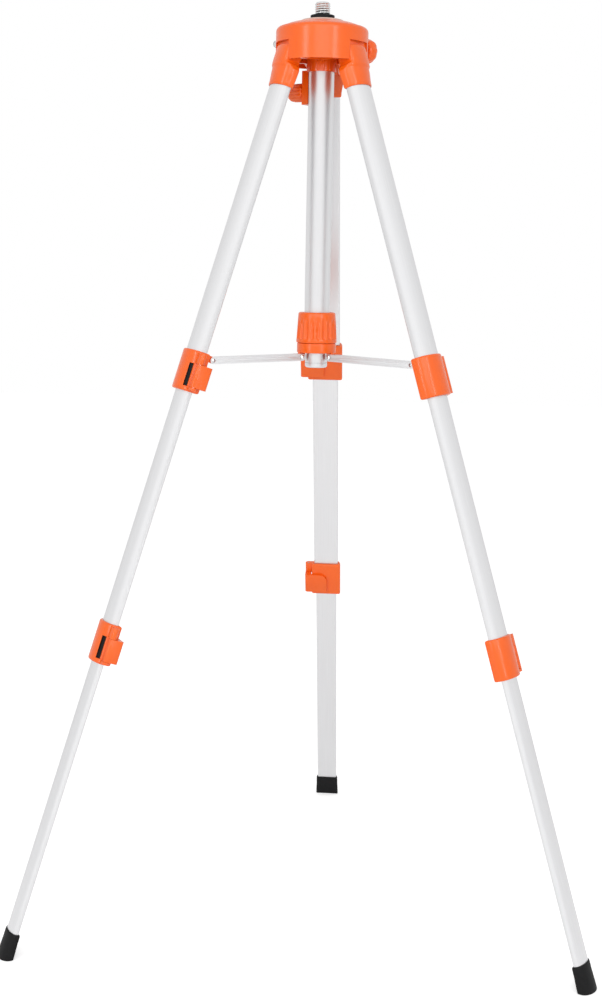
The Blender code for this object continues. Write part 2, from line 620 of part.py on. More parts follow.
def strut(name, material):
    """A folded channel along Y from its inner pivot, open underneath, with a round two-cheeked eye at each end."""
    reach = strut_reach()
    half_gap = LUG_THICKNESS / 2 + STRUT_CLEAR
    half = half_gap + STRUT_SHEET
    radius = STRUT_DEPTH / 2
    outline = []
    for end, start in ((0.0, math.pi / 2), (reach, -math.pi / 2)):
        for i in range(7):
            angle = start + math.pi * i / 6
            outline.append((end + radius * math.cos(angle), radius * math.sin(angle)))
    body = slab(name, outline, -half, half, material)
    trench = block("trench", (-half_gap, STRUT_WEB_FROM_PIN, -10 * MM),
                   (half_gap, reach - STRUT_WEB_FROM_PIN, radius - STRUT_SHEET))
    cut(body, trench)
    for low, high in ((-10 * MM, STRUT_WEB_FROM_PIN + 0.2 * MM), (reach - STRUT_WEB_FROM_PIN - 0.2 * MM, reach + 10 * MM)):
        cut(body, block("fork", (-half_gap, low, -10 * MM), (half_gap, high, 10 * MM)))
    for end in (0.0, reach):
        hole = rod("hole", RIVET_RADIUS + PIN_GAP, -8 * MM, 8 * MM, count=12)
        hole.location = (0, end, 0)
        cut(body, hole)
    return body


def rivet(name, material):
    """A headed rivet along X through both cheeks of a strut and the hub's ear."""
    half = LUG_THICKNESS / 2 + STRUT_CLEAR + STRUT_SHEET + GAP
    profile = [(-half - RIVET_HEAD, RIVET_HEAD_RADIUS * 0.7), (-half - RIVET_HEAD * 0.4, RIVET_HEAD_RADIUS),
               (-half, RIVET_HEAD_RADIUS), (-half, RIVET_RADIUS), (half, RIVET_RADIUS), (half, RIVET_HEAD_RADIUS),
               (half + RIVET_HEAD * 0.4, RIVET_HEAD_RADIUS), (half + RIVET_HEAD, RIVET_HEAD_RADIUS * 0.7)]
    loops = [[Vector((x, u, v)) for u, v in circle(radius, 10)] for x, radius in profile]
    return loft(name, loops, material)


# The leg bolts' heads come out on these sides of the skirt
HEAD_SIDES = {"left": 1, "right": -1, "rear": -1}

clear_scene()
orange = finish_material("orange_plastic", (0.93, 0.14, 0.03), 0.38, 0.0)
aluminium = finish_material("satin_aluminium", (0.80, 0.80, 0.81), 0.38, 1.0)
steel = finish_material("plated_steel", (0.72, 0.72, 0.72), 0.22, 1.0)
rubber = finish_material("black_rubber", (0.02, 0.02, 0.02), 0.75, 0.0)
pale = finish_material("pale_ring", (0.80, 0.72, 0.68), 0.5, 0.0)

# Crown, column and stud
place(crown(orange))
top_ring_low = CROWN_TOP + GAP
ring_bore = COLUMN_RADIUS + GAP
ring = turned("top_ring", [(ring_bore, top_ring_low), (TOP_RING_RADIUS, top_ring_low),
                           (TOP_RING_RADIUS - 1 * MM, top_ring_low + TOP_RING_THICKNESS),
                           (ring_bore, top_ring_low + TOP_RING_THICKNESS)], pale, closed=True)
place(ring)
place(guide_tube(aluminium))
column_inner = COLUMN_RADIUS - COLUMN_WALL
rim_top = PLUG_BOTTOM + PLUG_RIM
place(turned("elevating_column", [(COLUMN_RADIUS, rim_top + GAP), (COLUMN_RADIUS, COLUMN_TOP), (column_inner, COLUMN_TOP),
                                  (column_inner, rim_top + GAP)], aluminium, closed=True))
place(turned("column_plug", [(COLUMN_RADIUS - 2.4 * MM, PLUG_BOTTOM), (COLUMN_RADIUS - 0.7 * MM, PLUG_BOTTOM + 0.7 * MM),
                             (COLUMN_RADIUS, PLUG_BOTTOM + 2.4 * MM), (COLUMN_RADIUS, rim_top),
                             (column_inner - GAP, rim_top), (column_inner - GAP, rim_top + PLUG_SPIGOT)], aluminium))
place(turned("mounting_stud", [(column_inner - GAP, COLUMN_TOP - STUD_PLUG_DEPTH), (column_inner - GAP, COLUMN_TOP),
                               (STUD_RADIUS, COLUMN_TOP), (STUD_RADIUS, STUD_TOP - 1.6 * MM),
                               (STUD_RADIUS - 1.6 * MM, STUD_TOP)], steel))
washer_low = COLUMN_TOP + GAP
washer_bore = STUD_RADIUS + GAP
place(turned("stud_washer", [(washer_bore, washer_low), (WASHER_RADIUS, washer_low),
                             (WASHER_RADIUS, washer_low + WASHER_THICKNESS - 0.8 * MM),
                             (WASHER_RADIUS - 0.8 * MM, washer_low + WASHER_THICKNESS),
                             (washer_bore, washer_low + WASHER_THICKNESS)], rubber, closed=True))

# Clamp knobs, each turning about its radial screw
crown_seat = CROWN_RADIUS + 0.8 * MM
tongue_seat = GUIDE_RADIUS + GAP + TONGUE_THICKNESS + 0.8 * MM
crown_knob = knob("crown_knob", KNOB_RADIUS, crown_seat, KNOB_THICKNESS, KNOB_LOBES, KNOB_LOBE_DEPTH, KNOB_SHAPE, orange)
column_knob = knob("column_knob", GRIP_RADIUS, tongue_seat, GRIP_LENGTH, GRIP_RIBS, GRIP_RIB_DEPTH, GRIP_SHAPE, orange)
for body, azimuth, height, seat_end in (
        (crown_knob, KNOB_AZIMUTH, KNOB_HEIGHT, crown_seat + KNOB_THICKNESS * 0.7),
        (column_knob, GRIP_AZIMUTH, GRIP_HEIGHT, tongue_seat + GRIP_LENGTH * 0.7)):
    axis = bpy.data.objects.new(body.name + "_axis", None)
    bpy.context.scene.collection.objects.link(axis)
    axis.location = (0, 0, height)
    axis.rotation_euler = (0, 0, math.radians(azimuth))
    place(body, axis)
    place(rod(body.name + "_screw", SCREW_RADIUS, COLUMN_RADIUS + GAP, seat_end - GAP, steel), axis)

# Spreader
place(spreader_hub(orange))
place(twist_collar(orange))
for leg_name, azimuth in LEG_AZIMUTHS.items():
    turn = math.radians(azimuth - 90)
    pivot = bpy.data.objects.new(f"strut_pivot_{leg_name}", None)
    bpy.context.scene.collection.objects.link(pivot)
    pivot.location = (HUB_PIVOT_RADIUS * math.cos(math.radians(azimuth)),
                      HUB_PIVOT_RADIUS * math.sin(math.radians(azimuth)), hub_pivot_height())
    pivot.rotation_euler = (strut_slope(), 0, turn)
    place(strut(f"strut_{leg_name}", aluminium), pivot)
    place(rivet(f"strut_rivet_{leg_name}", steel), pivot)

# Legs, each hanging from an empty on its hinge pin
for leg_name, azimuth in LEG_AZIMUTHS.items():
    turn = math.radians(azimuth - 90)
    hinge = bpy.data.objects.new(f"hinge_{leg_name}", None)
    bpy.context.scene.collection.objects.link(hinge)
    hinge.location = (HINGE_RADIUS * math.cos(math.radians(azimuth)),
                      HINGE_RADIUS * math.sin(math.radians(azimuth)), HINGE_HEIGHT)
    hinge.rotation_euler = (LEG_SPLAY, 0, turn)
    line = bpy.data.objects.new(f"leg_line_{leg_name}", None)
    bpy.context.scene.collection.objects.link(line)
    line.parent = hinge
    line.location = (0, -LEG_OFFSET, 0)
    place(bracket(f"bracket_{leg_name}", orange), line)
    level = bpy.data.objects.new(f"pin_level_{leg_name}", None)
    bpy.context.scene.collection.objects.link(level)
    level.location = hinge.location
    level.rotation_euler = (0, 0, turn)
    place(hinge_pin(f"leg_pin_{leg_name}", HEAD_SIDES[leg_name], steel), level)
    tube_top = BRACKET_SHOULDER + 7 * MM + GAP
    place(tube(f"upper_tube_{leg_name}", 0, tube_top, UPPER_LOCK_TOP + LOCK_SEAT - GAP, aluminium), line)
    place(tube(f"middle_tube_{leg_name}", 1, UPPER_LOCK_TOP - TUBE_OVERLAP, LOWER_LOCK_TOP + LOCK_SEAT - GAP, aluminium),
          line)
    boot, tube_end = foot(f"foot_{leg_name}", rubber)
    place(boot, line)
    place(tube(f"lower_tube_{leg_name}", 2, LOWER_LOCK_TOP - TUBE_OVERLAP, tube_end, aluminium), line)
    for level_name, index, top in (("upper", 0, UPPER_LOCK_TOP), ("lower", 1, LOWER_LOCK_TOP)):
        sleeve = lock(f"{level_name}_lock_{leg_name}", index, top, orange)
        if index == 0:
            lug(sleeve, index)
        place(sleeve, line)
        axis_x, axis_y = lever_axis(index)
        seat = (axis_x, axis_y, -(top + LEVER_FROM_TOP))
        place(lever(f"{level_name}_lever_{leg_name}", index, orange), line, seat)
        place(lever_pin(f"{level_name}_lever_pin_{leg_name}", steel), line, seat)
    short = LUG_THICKNESS / 2 + STRUT_CLEAR * 0.6
    lug_pin = rod(f"lug_pin_{leg_name}", RIVET_RADIUS, -short, short, steel, count=12)
    place(lug_pin, line, (0, -LUG_REACH, -LUG_FROM_HINGE))

# The frame's origin is on the floor at the middle of the part's bounding box
bpy.context.view_layer.update()
pieces = [piece for piece in bpy.data.objects if piece.type == "MESH"]
reach = [(piece.matrix_world @ vertex.co).y for piece in pieces for vertex in piece.data.vertices]
for top_object in bpy.data.objects:
    if top_object.parent is None:
        top_object.location.y -= (min(reach) + max(reach)) / 2
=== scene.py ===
import math

import bmesh
import bpy
from mathutils import Matrix, Vector


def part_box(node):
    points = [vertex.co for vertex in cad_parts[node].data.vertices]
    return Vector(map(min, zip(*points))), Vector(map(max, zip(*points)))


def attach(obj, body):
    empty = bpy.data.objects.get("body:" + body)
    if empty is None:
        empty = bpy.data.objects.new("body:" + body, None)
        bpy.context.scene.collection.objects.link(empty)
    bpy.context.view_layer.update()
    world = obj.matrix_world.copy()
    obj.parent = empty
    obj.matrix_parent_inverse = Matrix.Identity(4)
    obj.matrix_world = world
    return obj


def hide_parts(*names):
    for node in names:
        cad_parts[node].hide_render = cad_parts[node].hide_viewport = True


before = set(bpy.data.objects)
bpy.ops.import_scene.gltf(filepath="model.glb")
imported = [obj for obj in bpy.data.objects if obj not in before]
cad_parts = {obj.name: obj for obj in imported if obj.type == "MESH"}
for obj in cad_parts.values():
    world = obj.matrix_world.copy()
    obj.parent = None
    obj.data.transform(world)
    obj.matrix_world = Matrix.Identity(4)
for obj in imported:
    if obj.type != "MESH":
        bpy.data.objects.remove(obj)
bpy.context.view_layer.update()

# The camera stands a metre and a half in front of the tripod, a little lower than its head, and looks
# slightly down. Its place and lens were fitted to the legs, locks and feet in the photograph.
stud_low, stud_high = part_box("mounting_stud")
column_axis = Vector(((stud_low[0] + stud_high[0]) / 2, (stud_low[1] + stud_high[1]) / 2, 0))
turn_to_legs = Matrix.Rotation(0.075, 3, "Z")
pan, pitch, roll = -0.0103, 0.1608, 0.0176
ahead = Vector((math.sin(pan) * math.cos(pitch), math.cos(pan) * math.cos(pitch), -math.sin(pitch)))
level_right = Vector((math.cos(pan), -math.sin(pan), 0))
level_up = level_right.cross(ahead)
right = level_right * math.cos(roll) + level_up * math.sin(roll)
up = level_up * math.cos(roll) - level_right * math.sin(roll)
camera_data = bpy.data.cameras.new("camera")
camera_data.sensor_fit = "VERTICAL"
camera_data.sensor_height = 36
camera_data.lens = 52.19
camera = bpy.data.objects.new("camera", camera_data)
bpy.context.scene.collection.objects.link(camera)
axes = turn_to_legs @ Matrix((right, up, -ahead)).transposed()
camera_place = turn_to_legs @ Vector((0.0025, -1.54715, 0.70893)) + column_axis
camera.matrix_world = Matrix.Translation(camera_place) @ axes.to_4x4()
bpy.context.scene.camera = camera


# Two helpers make the node trees below. One adds a shader node with its settings and values, and the other
# links an output to an input.
def add(tree, kind, values=None, **settings):
    """Adds a shader node to the tree, with its settings and the values of its inputs."""
    node = tree.nodes.new("ShaderNode" + kind)
    for setting, value in settings.items():
        setattr(node, setting, value)
    for socket, value in (values or {}).items():
        node.inputs[socket].default_value = value
    return node


def wire(tree, source, output, target, socket):
    """Links an output of one node to an input of another."""
    tree.links.new(source.outputs[output], target.inputs[socket])


# A pale studio floor glows just enough to look white to the camera, and keeps the object's shadow. The metal
# mirrors it a little darker.
bpy.context.scene.view_settings.view_transform = "Standard"
floor_mesh = bpy.data.meshes.new("floor")
floor_mesh.from_pydata([(-6, -6, 0), (6, -6, 0), (6, 6, 0), (-6, 6, 0)], [], [(0, 1, 2, 3)])
floor = bpy.data.objects.new("floor", floor_mesh)
floor.location.z = -0.0005
bpy.context.scene.collection.objects.link(floor)
floor_paint = bpy.data.materials.new("floor_paint")
floor_paint.use_nodes = True
floor_tree = floor_paint.node_tree
floor_shader = floor_tree.nodes["Principled BSDF"]
floor_shader.inputs["Base Color"].default_value = (0.93, 0.93, 0.93, 1)
floor_shader.inputs["Roughness"].default_value = 0.9
floor_paths = add(floor_tree, "LightPath")
floor_seen = add(floor_tree, "Math", operation="ADD", use_clamp=True)
floor_level = add(floor_tree, "Math", {1: 0.44}, operation="MULTIPLY")
floor_mirrored = add(floor_tree, "Math", {1: 0.23}, operation="MULTIPLY_ADD")
floor_white = add(floor_tree, "Emission")
floor_sum = add(floor_tree, "AddShader")
wire(floor_tree, floor_paths, "Is Camera Ray", floor_seen, 0)
wire(floor_tree, floor_paths, "Is Transmission Ray", floor_seen, 1)
wire(floor_tree, floor_seen, 0, floor_level, 0)
wire(floor_tree, floor_paths, "Is Glossy Ray", floor_mirrored, 0)
wire(floor_tree, floor_level, 0, floor_mirrored, 2)
wire(floor_tree, floor_mirrored, 0, floor_white, "Strength")
wire(floor_tree, floor_shader, "BSDF", floor_sum, 0)
wire(floor_tree, floor_white, "Emission", floor_sum, 1)
wire(floor_tree, floor_sum, "Shader", floor_tree.nodes["Material Output"], "Surface")
floor_mesh.materials.append(floor_paint)

# The surround is white to the camera. The metal sees it brighter in front than behind, with a low grey
# screen in front at each side that draws the tubes' edges.
world = bpy.data.worlds.new("surround")
bpy.context.scene.world = world
world.use_nodes = True
surround = world.node_tree
background = surround.nodes["Background"]
background.inputs["Color"].default_value = (1, 1, 1, 1)
paths = add(surround, "LightPath")
seen = add(surround, "Math", operation="ADD", use_clamp=True)
strength = add(surround, "MapRange", {"To Min": 0.62, "To Max": 1.0})
direction = add(surround, "TexCoord")
direction_parts = add(surround, "SeparateXYZ")
front_to_back = add(surround, "MapRange",
                    {"From Min": -1.0, "From Max": 1.0, "To Min": 1.2, "To Max": 0.84})
sideways = add(surround, "Math", operation="ABSOLUTE")
side_screen = add(surround, "MapRange", {"From Min": 0.70, "From Max": 0.84, "To Max": 0.22},
                  interpolation_type="SMOOTHSTEP")
in_front = add(surround, "MapRange", {"From Min": 0.0, "From Max": -0.3}, interpolation_type="SMOOTHSTEP")
low_down = add(surround, "MapRange", {"From Min": 0.35, "From Max": 0.1}, interpolation_type="SMOOTHSTEP")
screens = add(surround, "Math", operation="MULTIPLY")
low_screens = add(surround, "Math", operation="MULTIPLY")
mirrored = add(surround, "Math", operation="SUBTRACT")
surround_level = add(surround, "Mix")
wire(surround, paths, "Is Camera Ray", seen, 0)
wire(surround, paths, "Is Transmission Ray", seen, 1)
wire(surround, seen, 0, strength, "Value")
wire(surround, direction, "Generated", direction_parts, "Vector")
wire(surround, direction_parts, "X", sideways, 0)
wire(surround, sideways, 0, side_screen, "Value")
wire(surround, direction_parts, "Y", in_front, "Value")
wire(surround, direction_parts, "Y", front_to_back, "Value")
wire(surround, direction_parts, "Z", low_down, "Value")
wire(surround, side_screen, "Result", screens, 0)
wire(surround, in_front, "Result", screens, 1)
wire(surround, screens, 0, low_screens, 0)
wire(surround, low_down, "Result", low_screens, 1)
wire(surround, front_to_back, "Result", mirrored, 0)
wire(surround, low_screens, 0, mirrored, 1)
wire(surround, paths, "Is Glossy Ray", surround_level, "Factor")
wire(surround, strength, "Result", surround_level, "A")
wire(surround, mirrored, 0, surround_level, "B")
wire(surround, surround_level, "Result", background, "Strength")

# Three soft lamps: a tall narrow one at each side and a wide one in front. They leave out the bare
# aluminium, which mirrors the surround alone, because they would burn white stripes into it.
bare_metal = bpy.data.collections.new("bare_metal")
for lamp_name, lamp_place, lamp_width, lamp_height, lamp_power in (
        ("lamp_left", (-1.3, -1.85, 1.2), 0.3, 2.0, 10), ("lamp_right", (1.3, -1.85, 1.2), 0.3, 2.0, 9),
        ("lamp_front", (0.2, -2.6, 1.8), 1.8, 1.8, 15)):
    lamp_data = bpy.data.lights.new(lamp_name, "AREA")
    lamp_data.shape = "RECTANGLE"
    lamp_data.size = lamp_width
    lamp_data.size_y = lamp_height
    lamp_data.energy = lamp_power
    lamp = bpy.data.objects.new(lamp_name, lamp_data)
    bpy.context.scene.collection.objects.link(lamp)
    lamp.location = lamp_place
    towards_middle = column_axis + Vector((0, 0, 0.5)) - Vector(lamp_place)
    lamp.rotation_euler = towards_middle.to_track_quat("-Z", "Y").to_euler()
    lamp.light_linking.receiver_collection = bare_metal


# Every finish below is two tints mixed by a fine noise, because no real surface is quite even. The noise
# can vary the polish and raise a bump too.
def mottled_finish(name, scale, tints, roughness, metallic=0.0, specular=0.5, detail=2.0, spread=(0.0, 1.0),
                   bump=None, bump_scale=None, stretch=None):
    """A material of two tints. Its roughness is one value, or a range that the noise sets, and its bump has
    a strength, a distance and perhaps a finer noise. A stretch lays the noise along the UV map in lines."""
    material = bpy.data.materials.new(name)
    material.use_nodes = True
    tree = material.node_tree
    shader = tree.nodes["Principled BSDF"]
    shader.inputs["Metallic"].default_value = metallic
    shader.inputs["Specular IOR Level"].default_value = specular
    if stretch:
        place, output = add(tree, "Mapping", {"Scale": stretch}), "Vector"
        wire(tree, add(tree, "UVMap"), "UV", place, "Vector")
    else:
        place, output = add(tree, "TexCoord"), "Object"
    noise = add(tree, "TexNoise", {"Scale": scale, "Detail": detail})
    wire(tree, place, output, noise, "Vector")
    tint = add(tree, "ValToRGB")
    for element, position, colour in zip(tint.color_ramp.elements, spread, tints):
        element.position = position
        element.color = (*colour, 1)
    wire(tree, noise, "Fac", tint, "Fac")
    wire(tree, tint, "Color", shader, "Base Color")
    if isinstance(roughness, tuple):
        polish = add(tree, "MapRange", {"To Min": roughness[0], "To Max": roughness[1]})
        wire(tree, noise, "Fac", polish, "Value")
        wire(tree, polish, "Result", shader, "Roughness")
    else:
        shader.inputs["Roughness"].default_value = roughness
    if bump:
        grain = noise
        if bump_scale:
            grain = add(tree, "TexNoise", {"Scale": bump_scale})
            wire(tree, place, output, grain, "Vector")
        raised = add(tree, "Bump", {"Strength": bump[0], "Distance": bump[1]})
        wire(tree, grain, "Fac", raised, "Height")
        wire(tree, raised, "Normal", shader, "Normal")
    return material


# The guide tube is a round aluminium tube fixed in the crown. The column that carries the stud slides inside
# it, and a rounded plug closes the column's lower end. All the tubes are satin with faint drawing lines.
aluminium = mottled_finish("satin_aluminium_drawn", 1, ((0.74, 0.74, 0.75), (0.81, 0.81, 0.82)), (0.34, 0.44),
                           metallic=1, detail=4, spread=(0.25, 0.75), bump=(0.03, 0.0001),
                           stretch=(3.0, 0.012, 1))
millimetres = Matrix.Scale(0.001, 4)
at_column = Matrix.Translation(column_axis) @ millimetres
eased_from = math.radians(38)
sharp_from = math.radians(34)


def skin(loops, closed=False):
    """Skins loops of equal count and caps an open skin. The UV map is the distance round and along it."""
    shape = bmesh.new()
    chart = shape.loops.layers.uv.new("UVMap")
    rings = [[shape.verts.new(point) for point in loop] for loop in loops]
    count = len(loops[0])
    spans = [(Vector(loops[0][i]) - Vector(loops[0][i - 1])).length for i in range(count)]
    round_at = [sum(spans[1:i + 1]) for i in range(count)] + [sum(spans)]
    along = 0.0
    order = list(range(len(rings))) + ([0] if closed else [])
    for lower, upper in zip(order, order[1:]):
        step = (Vector(loops[upper][0]) - Vector(loops[lower][0])).length
        for i in range(count):
            j = (i + 1) % count
            face = shape.faces.new((rings[lower][i], rings[lower][j], rings[upper][j], rings[upper][i]))
            corners = ((round_at[i], along), (round_at[i + 1], along), (round_at[i + 1], along + step),
                       (round_at[i], along + step))
            for corner, where in zip(face.loops, corners):
                corner[chart].uv = where
        along += step
    if not closed:
        shape.faces.new(rings[0])
        shape.faces.new(list(reversed(rings[-1])))
    bmesh.ops.recalc_face_normals(shape, faces=shape.faces)
    return shape


def circle(radius, height, count):
    """Points of a level circle round Z."""
    turns = [2 * math.pi * i / count for i in range(count)]
    return [Vector((radius * math.cos(a), radius * math.sin(a), height)) for a in turns]


def turned(profile, count=64, closed=False):
    """A lathe piece on Z from (radius, height) pairs."""
    return skin([circle(radius, height, count) for radius, height in profile], closed)


def arc(centre, radius, start, end, steps=6):
    """Points on an arc, with its angles in degrees."""
    angles = [math.radians(start + (end - start) * i / steps) for i in range(steps + 1)]
    return [(centre[0] + radius * math.cos(a), centre[1] + radius * math.sin(a)) for a in angles]


def made(piece):
    """The piece's mesh with its modifiers applied."""
    bpy.context.view_layer.update()
    return bpy.data.meshes.new_from_object(piece.evaluated_get(bpy.context.evaluated_depsgraph_get()))


def fit(name, shapes, place, material, body, slot, nodes, eased=0.0):
    """Makes one piece of the shapes in its place, with its edges eased, and lets it ride on its body."""
    mesh = bpy.data.meshes.new(name)
    whole = bmesh.new()
    for shape in shapes:
        shape.to_mesh(mesh)
        whole.from_mesh(mesh)
        shape.free()
    whole.to_mesh(mesh)
    whole.free()
    mesh.transform(place)
    piece = bpy.data.objects.new(name, mesh)
    bpy.context.scene.collection.objects.link(piece)
    mesh.materials.append(material)
    if eased:
        edges = piece.modifiers.new("eased_edges", "BEVEL")
        edges.width = eased * 0.001
        edges.segments = 2
        edges.limit_method = "ANGLE"
        edges.angle_limit = eased_from
        piece.data = made(piece)
        piece.modifiers.clear()
    piece.data.shade_smooth()
    piece.data.set_sharp_from_angle(angle=sharp_from)
    if slot == "satin_aluminium":
        bare_metal.objects.link(piece)
    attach(piece, body)
    if nodes:
        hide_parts(*nodes)


gap = 0.3
guide_radius = 13.25
guide_wall = 1.1
guide_chamfer = 0.2
tube_count = 72
crown_top = 954.8
hub_bottom = 617.2
guide_bottom = hub_bottom + 0.8
column_radius = 11.8
column_wall = 1.4
column_top = crown_top + 2.2
plug_bottom = guide_bottom - 16.5
plug_rim = 5.0
plug_round = 2.4
plug_length = 14
guide_inner = guide_radius - guide_wall
column_inner = column_radius - column_wall
plug_top = plug_bottom + plug_rim
guide_tube = turned([(guide_inner, guide_bottom), (guide_radius - guide_chamfer, guide_bottom),
                     (guide_radius, guide_bottom + guide_chamfer), (guide_radius, crown_top - gap),
                     (guide_inner, crown_top - gap)], tube_count, closed=True)
fit("guide_tube_drawn", [guide_tube], at_column, aluminium, "crown", "satin_aluminium", ["guide_tube"])
column = turned([(column_inner, plug_top + gap), (column_radius, plug_top + gap), (column_radius, column_top),
                 (column_inner, column_top)], tube_count, closed=True)
fit("elevating_column_drawn", [column], at_column, aluminium, "column", "satin_aluminium",
    ["elevating_column"])
plug = turned([(column_radius - 6, plug_bottom)]
              + arc((column_radius - plug_round, plug_bottom + plug_round), plug_round, -90, 0)
              + [(column_radius, plug_top), (column_inner - gap, plug_top),
                 (column_inner - gap, plug_top + plug_length)])
fit("column_plug_turned", [plug], at_column, aluminium, "column", "satin_aluminium", ["column_plug"])

# The stud is a plated steel survey screw of five eighths of an inch, eleven threads to the inch. It stands
# on a plug in the column's top, with a black rubber washer round its root for the instrument to sit on.
steel = mottled_finish("bright_plated_steel", 420, ((0.60, 0.60, 0.61), (0.80, 0.80, 0.80)), (0.12, 0.26),
                       metallic=1, detail=3)
rubber = mottled_finish("black_rubber_moulded", 260, ((0.004, 0.004, 0.004), (0.011, 0.011, 0.012)), 0.58,
                        specular=0.16, detail=5, bump=(0.15, 0.0003))
stud_radius = 7.94
stud_length = 17.4
stud_chamfer = 1.6
stud_root_length = 24
thread_pitch = 25.4 / 11
thread_depth = 0.75
thread_steps = 90
thread_count = 60
stud_loops = []
for i in range(thread_steps + 1):
    rise = stud_length * i / thread_steps
    chamfer = min(stud_radius, stud_radius - stud_chamfer + (stud_length - rise))
    loop = []
    for k in range(thread_count):
        phase = (rise / thread_pitch - k / thread_count) % 1.0
        radius = min(stud_radius - thread_depth * (1 - abs(2 * phase - 1)), chamfer)
        angle = 2 * math.pi * k / thread_count
        loop.append(Vector((radius * math.cos(angle), radius * math.sin(angle), column_top + rise)))
    stud_loops.append(loop)
stud_root = turned([(column_inner - gap, column_top - stud_root_length), (column_inner - gap, column_top),
                    (stud_radius - 1, column_top)])
fit("mounting_stud_threaded", [skin(stud_loops), stud_root], at_column, steel, "column", "plated_steel",
    ["mounting_stud"])
washer_radius = 12.4
washer_round = 0.6
washer_low = column_top + gap
washer_high = washer_low + 4.3
washer_bore = stud_radius + gap
washer_edge = washer_radius - washer_round
washer = turned([(washer_bore, washer_high), (washer_bore, washer_low), (washer_radius - 0.5, washer_low)]
                + arc((washer_edge, washer_low + washer_round), washer_round, -60, 0, 3)
                + arc((washer_edge, washer_high - washer_round), washer_round, 0, 90, 4), closed=True)
fit("stud_washer_moulded", [washer], at_column, rubber, "column", "black_rubber", ["stud_washer"])

# The crown is the moulded orange head: a domed cap with a skirt, a sleeve round the guide tube, a slot with
# two cheeks for each leg and a tongue for the lower clamp screw. The plastic is smooth with a fine grain.
orange = mottled_finish("orange_plastic_moulded", 35, ((0.88, 0.112, 0.003), (0.96, 0.140, 0.007)),
                        (0.20, 0.28), bump=(0.06, 0.0002), bump_scale=1400)


def unite(shape, tool, operation):
    """Joins the tool to the shape, cuts it out or keeps what they share, and gives the new shape."""
    holders = []
    for part in (shape, tool):
        bmesh.ops.recalc_face_normals(part, faces=part.faces)
        mesh = bpy.data.meshes.new("workpiece")
        part.to_mesh(mesh)
        part.free()
        holder = bpy.data.objects.new("workpiece", mesh)
        bpy.context.scene.collection.objects.link(holder)
        holders.append(holder)
    boolean = holders[0].modifiers.new("cut", "BOOLEAN")
    boolean.operation = operation
    boolean.object = holders[1]
    boolean.solver = "EXACT"
    result_mesh = made(holders[0])
    result = bmesh.new()
    result.from_mesh(result_mesh)
    for holder in holders:
        bpy.data.meshes.remove(holder.data)
    bpy.data.meshes.remove(result_mesh)
    return result


def carve(shape, tool):
    """Cuts the tool out of the shape."""
    return unite(shape, tool, "DIFFERENCE")


def plate(outline, low, high, along="X"):
    """A plate with this outline, from low to high along X or along Z."""
    if along == "X":
        return skin([[Vector((x, a, b)) for a, b in outline] for x in (low, high)])
    return skin([[Vector((a, b, z)) for a, b in outline] for z in (low, high)])


def block(low, high, turn=Matrix.Identity(4)):
    """A block between two corners."""
    outline = [(low[0], low[1]), (high[0], low[1]), (high[0], high[1]), (low[0], high[1])]
    shape = plate(outline, low[2], high[2], "Z")
    shape.transform(turn)
    return shape


def spun(profile, count=32):
    """A lathe piece on X from (place, radius) pairs."""
    turns = [2 * math.pi * i / count for i in range(count)]
    return skin([[Vector((x, radius * math.cos(a), radius * math.sin(a))) for a in turns]
                 for x, radius in profile])


def bar(radius, start, end, turn=Matrix.Identity(4), count=32):
    """A plain round bar along X."""
    shape = spun([(start, radius), (end, radius)], count)
    shape.transform(turn)
    return shape


leg_azimuths = {"left": 210, "right": 330, "rear": 90}
bolt_head_sides = {"left": 1, "right": -1, "rear": -1}
bolt_reaches = {"left": 31.4, "right": 22.6, "rear": 31.4}
hinge_radius = 38.0
hinge_height = 934.0
crown_radius = 47.5
crown_wall = 3.0
crown_roof = 4.0
dome_drop = 5.5
dome_start = 22.0
dome_steps = 14
shoulder_radius = 5.0
skirt_bottom = hinge_height - 20
sleeve_bottom = skirt_bottom - 9
sleeve_bore = guide_radius + gap
sleeve_radius = sleeve_bore + 1.6
ear_bottom = hinge_height - 0.8
bracket_width = 31.0
barrel_radius = 5.2
cheek_thickness = 3.2
cheek_root = 10
bolt_radius = 2.5
bolt_clear = 0.25
bolt_cut = 40
bolt_head_radius = 3.8
knob_azimuth, knob_height = 30, hinge_height - 4
grip_azimuth, grip_height = 150, sleeve_bottom - 19
screw_radius = 3.0
tongue_thickness = 5.4
tongue_half_width = 8.0
tongue_bottom = grip_height - 13
dome_end = crown_radius - shoulder_radius
inner_roof = crown_top - 7.5 - crown_roof
overrun = 5
leg_turns = {leg: Matrix.Rotation(math.radians(azimuth - 90), 4, "Z")
             for leg, azimuth in leg_azimuths.items()}
crown_profile = [(sleeve_bore, sleeve_bottom), (sleeve_bore, crown_top)]
for i in range(dome_steps + 1):
    share = i / dome_steps
    crown_profile.append((dome_start + (dome_end - dome_start) * share, crown_top - dome_drop * share ** 1.6))
crown_profile += arc((dome_end, crown_top - dome_drop - shoulder_radius), shoulder_radius, 80, 0, 8)
crown_profile += [(crown_radius, skirt_bottom), (crown_radius - crown_wall, skirt_bottom),
                  (crown_radius - crown_wall, inner_roof), (sleeve_radius, crown_top - crown_roof),
                  (sleeve_radius, sleeve_bottom)]
crown_shape = turned(crown_profile, 120, closed=True)
slot_half = bracket_width / 2 + gap
cheek_outer = slot_half + cheek_thickness
cheek_reach = math.sqrt((crown_radius - crown_wall / 2) ** 2 - cheek_outer ** 2)
for turn in leg_turns.values():
    for side in (-1, 1):
        edges = sorted((side * (slot_half - 0.8), side * cheek_outer))
        cheek = block((edges[0], cheek_root, skirt_bottom + 1),
                      (edges[1], cheek_reach, inner_roof + crown_roof * 0.6), turn)
        crown_shape = unite(crown_shape, cheek, "UNION")
tongue = block((-tongue_half_width, guide_radius - 4, tongue_bottom),
               (tongue_half_width, sleeve_bore + tongue_thickness, sleeve_bottom + 2),
               Matrix.Rotation(math.radians(grip_azimuth - 90), 4, "Z"))
